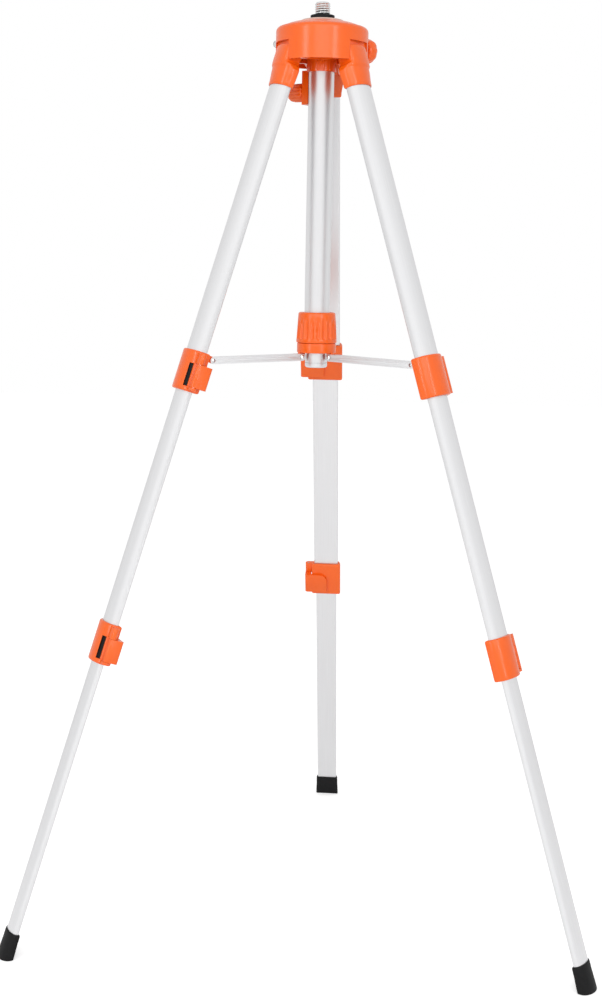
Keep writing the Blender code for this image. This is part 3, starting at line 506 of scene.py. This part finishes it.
crown_shape = unite(crown_shape, tongue, "UNION")
bore = turned([(sleeve_bore, tongue_bottom - overrun), (sleeve_bore, crown_top + overrun)], 120)
crown_shape = carve(crown_shape, bore)
for leg, turn in leg_turns.items():
    slot = block((-slot_half, sleeve_radius + 1, skirt_bottom - overrun),
                 (slot_half, crown_radius + overrun, ear_bottom), turn)
    crown_shape = carve(crown_shape, slot)
    pocket = block((-slot_half, sleeve_radius + 1, skirt_bottom),
                   (slot_half, hinge_radius + barrel_radius + gap, hinge_height + barrel_radius + 1.5), turn)
    crown_shape = carve(crown_shape, pocket)
    side = bolt_head_sides[leg]
    bolt_line = turn @ Matrix.Translation((0, hinge_radius, hinge_height))
    for radius, start, end in ((bolt_radius + bolt_clear, -cheek_outer - 0.7, cheek_outer + 3),
                               (bolt_head_radius + gap, cheek_outer + 1, bolt_reaches[leg] + 0.4)):
        crown_shape = carve(crown_shape, bar(radius, side * start, side * end, bolt_line, 22))
for azimuth, height in ((knob_azimuth, knob_height), (grip_azimuth, grip_height)):
    screw_line = Matrix.Rotation(math.radians(azimuth), 4, "Z") @ Matrix.Translation((0, 0, height))
    screw_hole = bar(screw_radius + gap, guide_radius - 4, crown_radius + overrun, screw_line)
    crown_shape = carve(crown_shape, screw_hole)
fit("crown_moulded", [crown_shape], at_column, orange, "crown", "orange_plastic", ["crown"], eased=0.7)

# Upright ribs stiffen the sleeve where it comes out under the crown. They are moulded in one with it, and a
# node tree sets them round the axis.
rib_tree = bpy.data.node_groups.new("ribs_round_an_axis", "GeometryNodeTree")
rib_tree.interface.new_socket("Ribs", in_out="OUTPUT", socket_type="NodeSocketGeometry")
rib_inputs = {}
for rib_input, kind in (("Count", "Int"), ("Ring Radius", "Float"), ("Rib Radius", "Float"),
                        ("Rib Length", "Float"), ("Plastic", "Material")):
    socket = rib_tree.interface.new_socket(rib_input, in_out="INPUT", socket_type="NodeSocket" + kind)
    rib_inputs[rib_input] = socket.identifier
rib_in = rib_tree.nodes.new("NodeGroupInput")
rib_out = rib_tree.nodes.new("NodeGroupOutput")
rib_ring = rib_tree.nodes.new("GeometryNodeMeshCircle")
rib_bar = rib_tree.nodes.new("GeometryNodeMeshCylinder")
rib_bar.inputs["Vertices"].default_value = 12
rib_spread = rib_tree.nodes.new("GeometryNodeInstanceOnPoints")
rib_real = rib_tree.nodes.new("GeometryNodeRealizeInstances")
rib_paint = rib_tree.nodes.new("GeometryNodeSetMaterial")
wire(rib_tree, rib_in, "Count", rib_ring, "Vertices")
wire(rib_tree, rib_in, "Ring Radius", rib_ring, "Radius")
wire(rib_tree, rib_in, "Rib Radius", rib_bar, "Radius")
wire(rib_tree, rib_in, "Rib Length", rib_bar, "Depth")
wire(rib_tree, rib_ring, "Mesh", rib_spread, "Points")
wire(rib_tree, rib_bar, "Mesh", rib_spread, "Instance")
wire(rib_tree, rib_spread, "Instances", rib_real, "Geometry")
wire(rib_tree, rib_real, "Geometry", rib_paint, "Geometry")
wire(rib_tree, rib_in, "Plastic", rib_paint, "Material")
wire(rib_tree, rib_paint, "Geometry", rib_out, "Ribs")
sleeve_rib_count = 14
sleeve_rib_radius = 0.6
sleeve_rib_length = 22.0
sleeve_ribs = bpy.data.objects.new("sleeve_ribs", bpy.data.meshes.new("sleeve_ribs"))
bpy.context.scene.collection.objects.link(sleeve_ribs)
rib_maker = sleeve_ribs.modifiers.new("ribs", "NODES")
rib_maker.node_group = rib_tree
for rib_input, value in (("Count", sleeve_rib_count), ("Ring Radius", sleeve_radius - sleeve_rib_radius / 2),
                         ("Rib Radius", sleeve_rib_radius), ("Rib Length", sleeve_rib_length),
                         ("Plastic", orange)):
    rib_maker[rib_inputs[rib_input]] = value
sleeve_ribs.data = made(sleeve_ribs)
sleeve_ribs.modifiers.clear()
sleeve_rib_middle = sleeve_bottom + sleeve_rib_length / 2 + 0.4
sleeve_ribs.data.transform(at_column @ Matrix.Translation((0, 0, sleeve_rib_middle)))
sleeve_ribs.data.shade_smooth()
sleeve_ribs.data.set_sharp_from_angle(angle=math.radians(50))
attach(sleeve_ribs, "crown")

# The pale ring is a thin plastic disc that lies on the crown's top round the column. Its upper edge is
# rounded, and its colour is a little uneven.
pale = mottled_finish("pale_plastic_disc", 120, ((0.62, 0.44, 0.36), (0.72, 0.54, 0.46)), 0.45)
ring_low = crown_top + gap
ring_bore = column_radius + gap
ring_round = 1.0
ring_shoulder = 0.5
ring_thickness = 1.5
ring = turned([(ring_bore, ring_low + ring_thickness), (ring_bore, ring_low), (dome_start, ring_low)]
              + arc((dome_start - ring_round, ring_low + ring_shoulder), ring_round, 0, 90, 5), closed=True)
fit("top_ring_disc", [ring], at_column, pale, "crown", "pale_ring", ["top_ring"])

# Two hand knobs of the same orange plastic turn on steel screws. The round one at the right clamps the
# crown, and the ribbed one at the lower left presses through the tongue on the column.
knob_shape = ((0.0, 0.84), (0.02, 0.91), (0.06, 0.965), (0.12, 1.0), (0.34, 1.0), (0.50, 0.975), (0.64, 0.92),
              (0.76, 0.84), (0.86, 0.73), (0.93, 0.61), (0.98, 0.49), (1.0, 0.40))
grip_shape = ((0.0, 0.78), (0.03, 0.9), (0.08, 0.98), (0.14, 1.0), (0.4, 1.0), (0.6, 0.995), (0.75, 0.96),
              (0.86, 0.9), (0.94, 0.81), (0.98, 0.73), (1.0, 0.64))
knob_clear = 0.8
knob_seat = crown_radius + knob_clear
grip_seat = sleeve_bore + tongue_thickness + knob_clear
steps_per_lobe = 12
for node, azimuth, height, seat, length, radius, lobes, lobe_depth, outline in (
        ("crown_knob", knob_azimuth, knob_height, knob_seat, 13.0, 12.5, 8, 0.7, knob_shape),
        ("column_knob", grip_azimuth, grip_height, grip_seat, 19.0, 9.4, 14, 0.9, grip_shape)):
    turn = Matrix.Rotation(math.radians(azimuth), 4, "Z")
    screw_line = at_column @ Matrix.Translation((0, 0, height)) @ turn
    knob_loops = []
    for along, share in outline:
        loop = []
        for k in range(lobes * steps_per_lobe):
            angle = 2 * math.pi * k / (lobes * steps_per_lobe)
            size = radius * share - lobe_depth * (0.5 - 0.5 * math.cos(lobes * angle)) ** 1.5
            loop.append(Vector((seat + length * along, size * math.cos(angle), size * math.sin(angle))))
        knob_loops.append(loop)
    fit(f"{node}_moulded", [skin(knob_loops)], screw_line, orange, node, "orange_plastic", [node], eased=0.3)
    screw = bar(screw_radius, column_radius + gap, seat + length * 0.7 - gap)
    fit(f"{node}_screw_turned", [screw], screw_line, steel, node, "plated_steel", [f"{node}_screw"],
        eased=0.3)

# The spreader's hub is a moulded ring that slides on the guide tube, with an eye under it for each strut. The
# fluted collar above it is a nut that clamps the hub to the tube.
hub_radius = 20.6
hub_round = 1.0
hub_top = hub_bottom + 10.2
hub_pivot_radius = 17.5
hub_pivot_height = hub_bottom - 4.7
eye_radius = 3.4
eye_thickness = 3.0
rivet_radius = 1.6
rivet_clear = 0.25
eye_cut = 8
hub_parts = [turned([(sleeve_bore, hub_bottom), (hub_radius - 1.2, hub_bottom)]
                    + arc((hub_radius - hub_round, hub_bottom + hub_round), hub_round, -80, 0, 4)
                    + arc((hub_radius - hub_round, hub_top - hub_round), hub_round, 0, 80, 4)
                    + [(hub_radius - 1.2, hub_top), (sleeve_bore, hub_top)], 96, closed=True)]
for turn in leg_turns.values():
    outline = [(hub_pivot_radius - eye_radius, hub_bottom + 2)]
    outline += arc((hub_pivot_radius, hub_pivot_height), eye_radius, 180, 360, 16)
    outline.append((hub_pivot_radius + eye_radius, hub_bottom + 2))
    pivot = Matrix.Translation((0, hub_pivot_radius, hub_pivot_height))
    eye = plate(outline, -eye_thickness / 2, eye_thickness / 2)
    eye = carve(eye, bar(rivet_radius + rivet_clear, -eye_cut, eye_cut, pivot, 20))
    eye.transform(turn)
    hub_parts.append(eye)
fit("spreader_hub_moulded", hub_parts, at_column, orange, "hub", "orange_plastic", ["spreader_hub"],
    eased=0.25)
collar_bottom = hub_top + gap
collar_height = 32.0
collar_bottom_radius = 21.6
collar_top_radius = 19.6
flutes = 20
flute_depth = 1.8
steps_per_flute = 12
collar_count = flutes * steps_per_flute
collar_stations = ((0.0, 1.0, 0.0), (0.3, 0.35, 0.0), (0.9, 0.0, 0.0), (3.2, 0.0, 0.0), (3.8, 0.0, 0.35),
                   (4.6, 0.0, 0.85), (5.8, 0.0, 1.0), (14.0, 0.0, 1.0), (19.0, 0.0, 0.8), (22.5, 0.0, 0.45),
                   (25.0, 0.0, 0.12), (26.2, 0.0, 0.0), (30.2, 0.0, 0.0), (31.1, 0.35, 0.0), (31.7, 0.9, 0.0),
                   (32.0, 1.7, 0.0))
collar_loops = []
for rise, inset, flute in collar_stations:
    base = collar_bottom_radius + (collar_top_radius - collar_bottom_radius) * rise / collar_height - inset
    loop = []
    for k in range(collar_count):
        angle = 2 * math.pi * k / collar_count
        size = base - flute * flute_depth * (0.5 - 0.5 * math.cos(flutes * angle)) ** 1.4
        loop.append(Vector((size * math.cos(angle), size * math.sin(angle), collar_bottom + rise)))
    collar_loops.append(loop)
collar_loops += [circle(sleeve_bore, collar_bottom + rise, collar_count) for rise in (collar_height, 0.0)]
fit("twist_collar_fluted", [skin(collar_loops, closed=True)], at_column, orange, "twist_collar",
    "orange_plastic", ["twist_collar"])

# Each leg hangs from a moulded bracket that turns on a steel bolt between the crown's cheeks. The bracket
# swells into a shoulder and takes the top of the upper tube in a socket.
leg_splay = math.radians(18.43)
leg_offset = 4.6
bracket_end = 47.5
bracket_shoulder = 24.0
bracket_shoulder_width = 41.0
bracket_outer = 11.5
bracket_inner = 9.0
bracket_top = 6.5
bracket_wall = 1.5
neck_arc = 0.25
tube_arc = 0.72
tube_half_width = 16.8
tube_half_depth = 7.6
nest_in_width = 2.1
nest_in_depth = 1.65
tube_seat = bracket_shoulder + 7
leg_lines = {}
bolt_lines = {}
for leg, turn in leg_turns.items():
    bolt_lines[leg] = at_column @ turn @ Matrix.Translation((0, hinge_radius, hinge_height))
    splayed = Matrix.Rotation(leg_splay, 4, "X") @ Matrix.Translation((0, -leg_offset, 0))
    leg_lines[leg] = bolt_lines[leg] @ splayed


def leg_outline(half_width, low, high, arc_share):
    """The legs' section: a flat inner face, round corners, straight sides and a rounded outer face."""
    corner = 1.5
    steps = 28
    arc_height = (high - low) * arc_share
    points = arc((half_width - corner, low + corner), corner, -90, 0, 5)
    for i in range(steps + 1):
        angle = math.pi * i / steps
        points.append((half_width * math.cos(angle), high - arc_height + arc_height * math.sin(angle)))
    return points + arc((-half_width + corner, low + corner), corner, 180, 270, 5)


def half_size(level, grow):
    """Half the width and depth of a leg tube, level 0 for the upper one, grown outwards."""
    half_width = tube_half_width - nest_in_width * level + grow
    half_depth = tube_half_depth - nest_in_depth * level + grow
    return half_width, half_depth


def leg_loop(level, grow, station):
    """A leg tube's section, grown outwards, at a distance down the leg."""
    half_width, half_depth = half_size(level, grow)
    return [Vector((x, y, -station)) for x, y in leg_outline(half_width, -half_depth, half_depth, tube_arc)]


def bracket_loops():
    """Sections from the neck over the shoulder to the mouth, eased from one to the next."""
    mouth_width, mouth_depth = half_size(0, bracket_wall)
    neck = bracket_width / 2
    shoulder = bracket_shoulder_width / 2
    middle_arc = (neck_arc + tube_arc) / 2
    keys = ((bracket_top, neck - 1.2, -bracket_inner + 1.5, bracket_outer - 1.2, neck_arc),
            (bracket_top + 0.5, neck - 0.4, -bracket_inner + 0.5, bracket_outer - 0.4, neck_arc),
            (bracket_top + 1.5, neck, -bracket_inner, bracket_outer, neck_arc),
            (bracket_shoulder - 1.0, neck, -bracket_inner, bracket_outer, neck_arc),
            (bracket_shoulder + 2.5, shoulder - 1.5, -bracket_inner, bracket_outer, middle_arc),
            (bracket_shoulder + 6, shoulder, -(bracket_inner + mouth_depth) / 2,
             (bracket_outer + mouth_depth) / 2, tube_arc),
            (bracket_end - 1, mouth_width, -mouth_depth, mouth_depth, tube_arc),
            (bracket_end, mouth_width - 0.6, -mouth_depth + 0.6, mouth_depth - 0.6, tube_arc))
    loops = []
    for first, second in zip(keys, keys[1:]):
        steps = 5 if second[0] - first[0] > 2 else 1
        for i in range(steps):
            share = i / steps
            smooth = share * share * (3 - 2 * share)
            values = [a + (b - a) * smooth for a, b in zip(first[1:], second[1:])]
            station = first[0] + (second[0] - first[0]) * share
            loops.append([Vector((x, y, -station)) for x, y in leg_outline(*values)])
    station, *values = keys[-1]
    return loops + [[Vector((x, y, -station)) for x, y in leg_outline(*values)]]


for leg in leg_azimuths:
    bracket = skin(bracket_loops())
    root = bracket_top + 6
    plumb = (root - barrel_radius * math.sin(leg_splay)) * math.tan(leg_splay)
    outline = [(leg_offset - barrel_radius, -root)]
    outline.append((leg_offset + barrel_radius * math.cos(leg_splay) - plumb, -root))
    outline += arc((leg_offset, 0), barrel_radius, -math.degrees(leg_splay), 180, 20)
    barrel_half = bracket_width / 2 - gap
    bracket = unite(bracket, plate(outline, -barrel_half, barrel_half), "UNION")
    bracket = carve(bracket, skin([leg_loop(0, gap, tube_seat), leg_loop(0, gap, bracket_end + overrun)]))
    bolt_hole = bar(bolt_radius + bolt_clear, -bolt_cut, bolt_cut, Matrix.Translation((0, leg_offset, 0)), 22)
    bracket = carve(bracket, bolt_hole)
    fit(f"bracket_{leg}_moulded", [bracket], leg_lines[leg], orange, f"leg_{leg}", "orange_plastic",
        [f"bracket_{leg}"], eased=0.4)
    side = bolt_head_sides[leg]
    reach = bolt_reaches[leg]
    head_start = cheek_outer + 2
    bolt_profile = ((-cheek_outer, bolt_radius - 0.4), (-cheek_outer + 0.4, bolt_radius),
                    (head_start, bolt_radius), (head_start, bolt_head_radius),
                    (reach - 1.3, bolt_head_radius), (reach - 0.7, bolt_head_radius - 0.3),
                    (reach - 0.3, bolt_head_radius - 0.9), (reach, bolt_head_radius - 2.0))
    bolt = spun([(side * x, radius) for x, radius in bolt_profile])
    fit(f"leg_pin_{leg}_turned", [bolt], bolt_lines[leg], steel, "crown", "plated_steel", [f"leg_pin_{leg}"])

# Three aluminium tubes nest in each leg, with a flat face towards the column and a rounded face outwards.
# Each reaches up inside the one above, past its lock.
tube_wall = 1.2
upper_lock_top = 329.0
lower_lock_top = 620.6
lock_length = 42.5
lock_seat = 20.0
tube_overlap = 60.0
foot_length = 28.0
foot_sole = 9.0
floor_station = (hinge_height - leg_offset * math.sin(leg_splay)) / math.cos(leg_splay)
tube_ends = (("upper_tube", 0, tube_seat + gap, upper_lock_top + lock_seat - gap, "leg"),
             ("middle_tube", 1, upper_lock_top - tube_overlap, lower_lock_top + lock_seat - gap, "middle"),
             ("lower_tube", 2, lower_lock_top - tube_overlap, floor_station - foot_sole - gap, "lower"))
for leg in leg_azimuths:
    for tube_name, level, top, bottom, part in tube_ends:
        tube = skin([leg_loop(level, 0, top), leg_loop(level, 0, bottom), leg_loop(level, -tube_wall, bottom),
                     leg_loop(level, -tube_wall, top)], closed=True)
        fit(f"{tube_name}_{leg}_drawn", [tube], leg_lines[leg], aluminium, f"{part}_{leg}", "satin_aluminium",
            [f"{tube_name}_{leg}"])

# The flip locks are split orange sleeves on the ends of the upper and middle tubes. A lever on a steel pin
# at the side wraps over the inner face and draws the sleeve tight on a dark rubber pad, which is also
# painted shade that makes the slit look dark. The upper lock has an ear for the strut.
lock_wall = 3.0
lock_lip = 1.8
lip_steps = 4
lever_from_top = 13.5
lever_height = 24.0
lever_thickness = 3.2
lever_length = 19.0
lever_clear = 0.6
lever_round = 3.0
knuckle_radius = 3.6
knuckle_out = 4.6
knuckle_back = 1.0
lever_pin_radius = 1.3
pin_chamfer = 0.3
ear_root = 4
lug_cut = 5
lug_reach = 22.0
lug_station = 332.5
slit_width = 3.6
slit_floor_grow = 1.0
shade_pad_inner_grow = 1.1
shade_pad_outer_grow = 1.6
shade_pad_clear = 0.1
lip_angles = [math.pi / 2 * i / lip_steps for i in range(lip_steps + 1)]
lip = [(lock_lip * (1 - math.sin(a)), lock_lip * (1 - math.cos(a))) for a in lip_angles]
for leg in leg_azimuths:
    for level, lock_name, top, body in ((0, "upper", upper_lock_top, f"leg_{leg}"),
                                        (1, "lower", lower_lock_top, f"middle_{leg}")):
        end = top + lock_length
        step = top + lock_seat
        half_width, half_depth = half_size(level, lock_wall)
        axis_x, axis_y = -(half_width + knuckle_out), -knuckle_back
        lever_top = top + lever_from_top
        lever_bottom = lever_top + lever_height
        sleeve_loops = [leg_loop(level, lock_wall - inset, top + drop) for inset, drop in lip]
        sleeve_loops += [leg_loop(level, lock_wall - inset, end - drop) for drop, inset in lip]
        sleeve_loops += [leg_loop(level + 1, gap, end), leg_loop(level + 1, gap, step),
                         leg_loop(level, gap, step), leg_loop(level, gap, top)]
        slit_back = axis_y + knuckle_radius + gap
        slit = block((-half_width - overrun, slit_back, -lever_bottom),
                     (0, slit_back + slit_width, -lever_top))
        slit_floor = skin([leg_loop(level, slit_floor_grow, lever_bottom + overrun),
                           leg_loop(level, slit_floor_grow, lever_top - overrun)])
        sleeve = carve(skin(sleeve_loops, closed=True), carve(slit, slit_floor))
        # The pad is partly painted shade: a black rubber sheet on the slit's floor that makes the slit look
        # dark.
        shade_pad_top = lever_top + gap
        shade_pad_bottom = lever_bottom - gap
        shade_pad = skin([leg_loop(level, shade_pad_outer_grow, shade_pad_bottom), leg_loop(level, shade_pad_outer_grow, shade_pad_top),
                    leg_loop(level, shade_pad_inner_grow, shade_pad_top), leg_loop(level, shade_pad_inner_grow, shade_pad_bottom)],
                   closed=True)
        shade_pad_limits = block((-half_width - overrun, slit_back + shade_pad_clear, -lever_bottom),
                           (0, slit_back + slit_width - shade_pad_clear, -lever_top))
        shade_pad = unite(shade_pad, shade_pad_limits, "INTERSECT")
        fit(f"{lock_name}_lock_{leg}_pad", [shade_pad], leg_lines[leg], rubber, body, "black_rubber", [])
        lock_parts = [sleeve]
        for ear_start, ear_end in ((top + lock_lip, lever_top - gap), (lever_bottom + gap, end - lock_lip)):
            ear_side = -half_width + ear_root
            outline = [(ear_side, axis_y - knuckle_radius), (ear_side, axis_y + knuckle_radius)]
            outline += arc((axis_x, axis_y), knuckle_radius, 90, 270, 14)
            lock_parts.append(plate(outline, -ear_end, -ear_start, "Z"))
        if level == 0:
            root = -half_depth + 1
            outline = [(root, -lug_station - eye_radius), (root, -lug_station + eye_radius)]
            outline += arc((-lug_reach, -lug_station), eye_radius, 90, 270, 16)
            lug = Matrix.Translation((0, -lug_reach, -lug_station))
            ear = plate(outline, -eye_thickness / 2, eye_thickness / 2)
            lock_parts.append(carve(ear, bar(rivet_radius + rivet_clear, -lug_cut, lug_cut, lug, 20)))
        fit(f"{lock_name}_lock_{leg}_moulded", lock_parts, leg_lines[leg], orange, body, "orange_plastic",
            [f"{lock_name}_lock_{leg}"], eased=0.35)
        plate_top = knuckle_back - half_depth - lever_clear
        plate_low = plate_top - lever_thickness
        arm_inner = knuckle_out - 2 * lever_clear
        finger = knuckle_out + lever_length
        outline = arc((0, 0), knuckle_radius, 0, 180, 14)
        outline += arc((-knuckle_radius + lever_round, plate_low + lever_round), lever_round, 180, 270, 8)
        outline += [(finger - 1.5, plate_low), (finger - 0.4, plate_low + 0.5),
                    (finger, plate_low + lever_thickness * 0.4), (finger - 1, plate_top),
                    (arm_inner, plate_top), (arm_inner, -knuckle_radius)]
        corner = lever_height * 0.4
        trim = block((finger - corner, plate_low - overrun, -corner),
                     (finger + 10, plate_top + overrun, overrun))
        across = Matrix.Translation((finger - corner, 0, -corner)) @ Matrix.Rotation(math.pi / 2, 4, "Z")
        rounder = bar(corner, plate_low - 8, plate_top + 8, across, 48)
        lever = carve(plate(outline, -lever_height, 0, "Z"), carve(trim, rounder))
        hinge_line = leg_lines[leg] @ Matrix.Translation((axis_x, axis_y, -lever_top))
        fit(f"{lock_name}_lever_{leg}_moulded", [lever], hinge_line, orange, f"{lock_name}_lever_{leg}",
            "orange_plastic", [f"{lock_name}_lever_{leg}"], eased=0.5)
        pin_top = lever_from_top - lock_lip
        pin_bottom = lever_from_top - lock_length + lock_lip
        pin_end = lever_pin_radius - pin_chamfer
        pin = turned([(pin_end, pin_bottom), (lever_pin_radius, pin_bottom + pin_chamfer),
                      (lever_pin_radius, pin_top - pin_chamfer), (pin_end, pin_top)], 24)
        fit(f"{lock_name}_lever_pin_{leg}_turned", [pin], hinge_line, steel, body, "plated_steel",
            [f"{lock_name}_lever_pin_{leg}"])

# A black rubber boot is pushed on the end of each lower tube. It flares a little and is
# cut level with the floor.
boot_top = floor_station - foot_length
boot_wall = 1.4
boot_flare = 0.5
ground_size = 60
boot_rim = ((0.5, 0.0), (0.8, 0.3), (0.95, 0.9), (1.0, 1.8))
boot_side = ((0.1, 21.0), (0.0, 20.0), (0.2, 14.0), (boot_flare, 6.0), (boot_flare, -20.0))
for leg in leg_azimuths:
    boot_loops = [leg_loop(2, boot_wall * share, boot_top + rise) for share, rise in boot_rim]
    boot_loops += [leg_loop(2, boot_wall + grow, floor_station - above) for grow, above in boot_side]
    boot = skin(boot_loops)
    socket = skin([leg_loop(2, gap, boot_top - overrun), leg_loop(2, gap, floor_station - foot_sole)])
    boot = carve(boot, socket)
    ground = block((-ground_size, -ground_size, -ground_size), (ground_size, ground_size, 0),
                   Matrix.Translation((0, 0, -floor_station)) @ Matrix.Rotation(-leg_splay, 4, "X"))
    fit(f"foot_{leg}_moulded", [carve(boot, ground)], leg_lines[leg], rubber, f"lower_{leg}", "black_rubber",
        [f"foot_{leg}"], eased=1.1)

# The struts are thin aluminium channels pressed from sheet, open underneath, with a long raised bead on
# each side. A steel rivet holds the round end at the hub, and a pin in the upper lock's ear carries the
# outer end.
strut_depth = 7.5
strut_sheet = 1.2
strut_clear = 0.6
web_start = 9.0
bead_start = 15
bead_radius = 1.3
bead_slope = 0.6
bead_sunk = 0.2
bead_height = 0.35
strut_cut = 10
rivet_head = 2.7
lug_inward = leg_offset + lug_reach
lug_radius_place = hinge_radius - lug_inward * math.cos(leg_splay) + lug_station * math.sin(leg_splay)
lug_height_place = hinge_height - lug_inward * math.sin(leg_splay) - lug_station * math.cos(leg_splay)
strut_reach = math.hypot(lug_radius_place - hub_pivot_radius, lug_height_place - hub_pivot_height)
strut_slope = math.atan2(lug_height_place - hub_pivot_height, lug_radius_place - hub_pivot_radius)
half_gap = eye_thickness / 2 + strut_clear
half_strut = half_gap + strut_sheet
rivet_half = half_strut + gap
for leg, turn in leg_turns.items():
    strut_line = (at_column @ turn @ Matrix.Translation((0, hub_pivot_radius, hub_pivot_height))
                  @ Matrix.Rotation(strut_slope, 4, "X"))
    outline = arc((0, 0), strut_depth / 2, 90, 270, 16) + arc((strut_reach, 0), strut_depth / 2, -90, 90, 16)
    strut = plate(outline, -half_strut, half_strut)
    for low, high, top in ((web_start, strut_reach - web_start, strut_depth / 2 - strut_sheet),
                           (-strut_cut, web_start + 0.2, strut_cut),
                           (strut_reach - web_start - 0.2, strut_reach + strut_cut, strut_cut)):
        strut = carve(strut, block((-half_gap, low, -strut_cut), (half_gap, high, top)))
    for end in (0, strut_reach):
        rivet_line = Matrix.Translation((0, end, 0))
        strut = carve(strut, bar(rivet_radius + rivet_clear, -eye_cut, eye_cut, rivet_line, 20))
    strut_parts = [strut]
    bead_outline = (arc((bead_start, 0), bead_radius, 90, 270, 10)
                    + arc((strut_reach - bead_start, 0), bead_radius, -90, 90, 10))
    bead_top = [(y + (bead_slope if y < strut_reach / 2 else -bead_slope), z * 0.5) for y, z in bead_outline]
    for side in (-1, 1):
        strut_parts.append(skin([[Vector((side * (half_strut - bead_sunk), y, z)) for y, z in bead_outline],
                                 [Vector((side * (half_strut + bead_height), y, z)) for y, z in bead_top]]))
    fit(f"strut_{leg}_pressed", strut_parts, strut_line, aluminium, f"strut_{leg}", "satin_aluminium",
        [f"strut_{leg}"], eased=0.25)
    rivet_profile = [(rivet_half + 0.9, 0.4), (rivet_half + 0.85, rivet_head * 0.45),
                     (rivet_half + 0.6, rivet_head * 0.75), (rivet_half + 0.3, rivet_head * 0.95),
                     (rivet_half, rivet_head), (rivet_half, rivet_radius)]
    rivet_profile += [(-x, radius) for x, radius in reversed(rivet_profile)]
    fit(f"strut_rivet_{leg}_headed", [spun(rivet_profile, 24)], strut_line, steel, f"strut_{leg}",
        "plated_steel", [f"strut_rivet_{leg}"])
    pin_half = eye_thickness / 2 + strut_clear * 0.6
    lug_pin = bar(rivet_radius, -pin_half, pin_half, Matrix.Translation((0, -lug_reach, -lug_station)), 24)
    fit(f"lug_pin_{leg}_turned", [lug_pin], leg_lines[leg], steel, f"leg_{leg}", "plated_steel",
        [f"lug_pin_{leg}"], eased=0.2)

# The lamps leave out the pieces of bare aluminium, which were gathered as they were fitted.
for item in bare_metal.collection_objects:
    item.light_linking.link_state = "EXCLUDE"
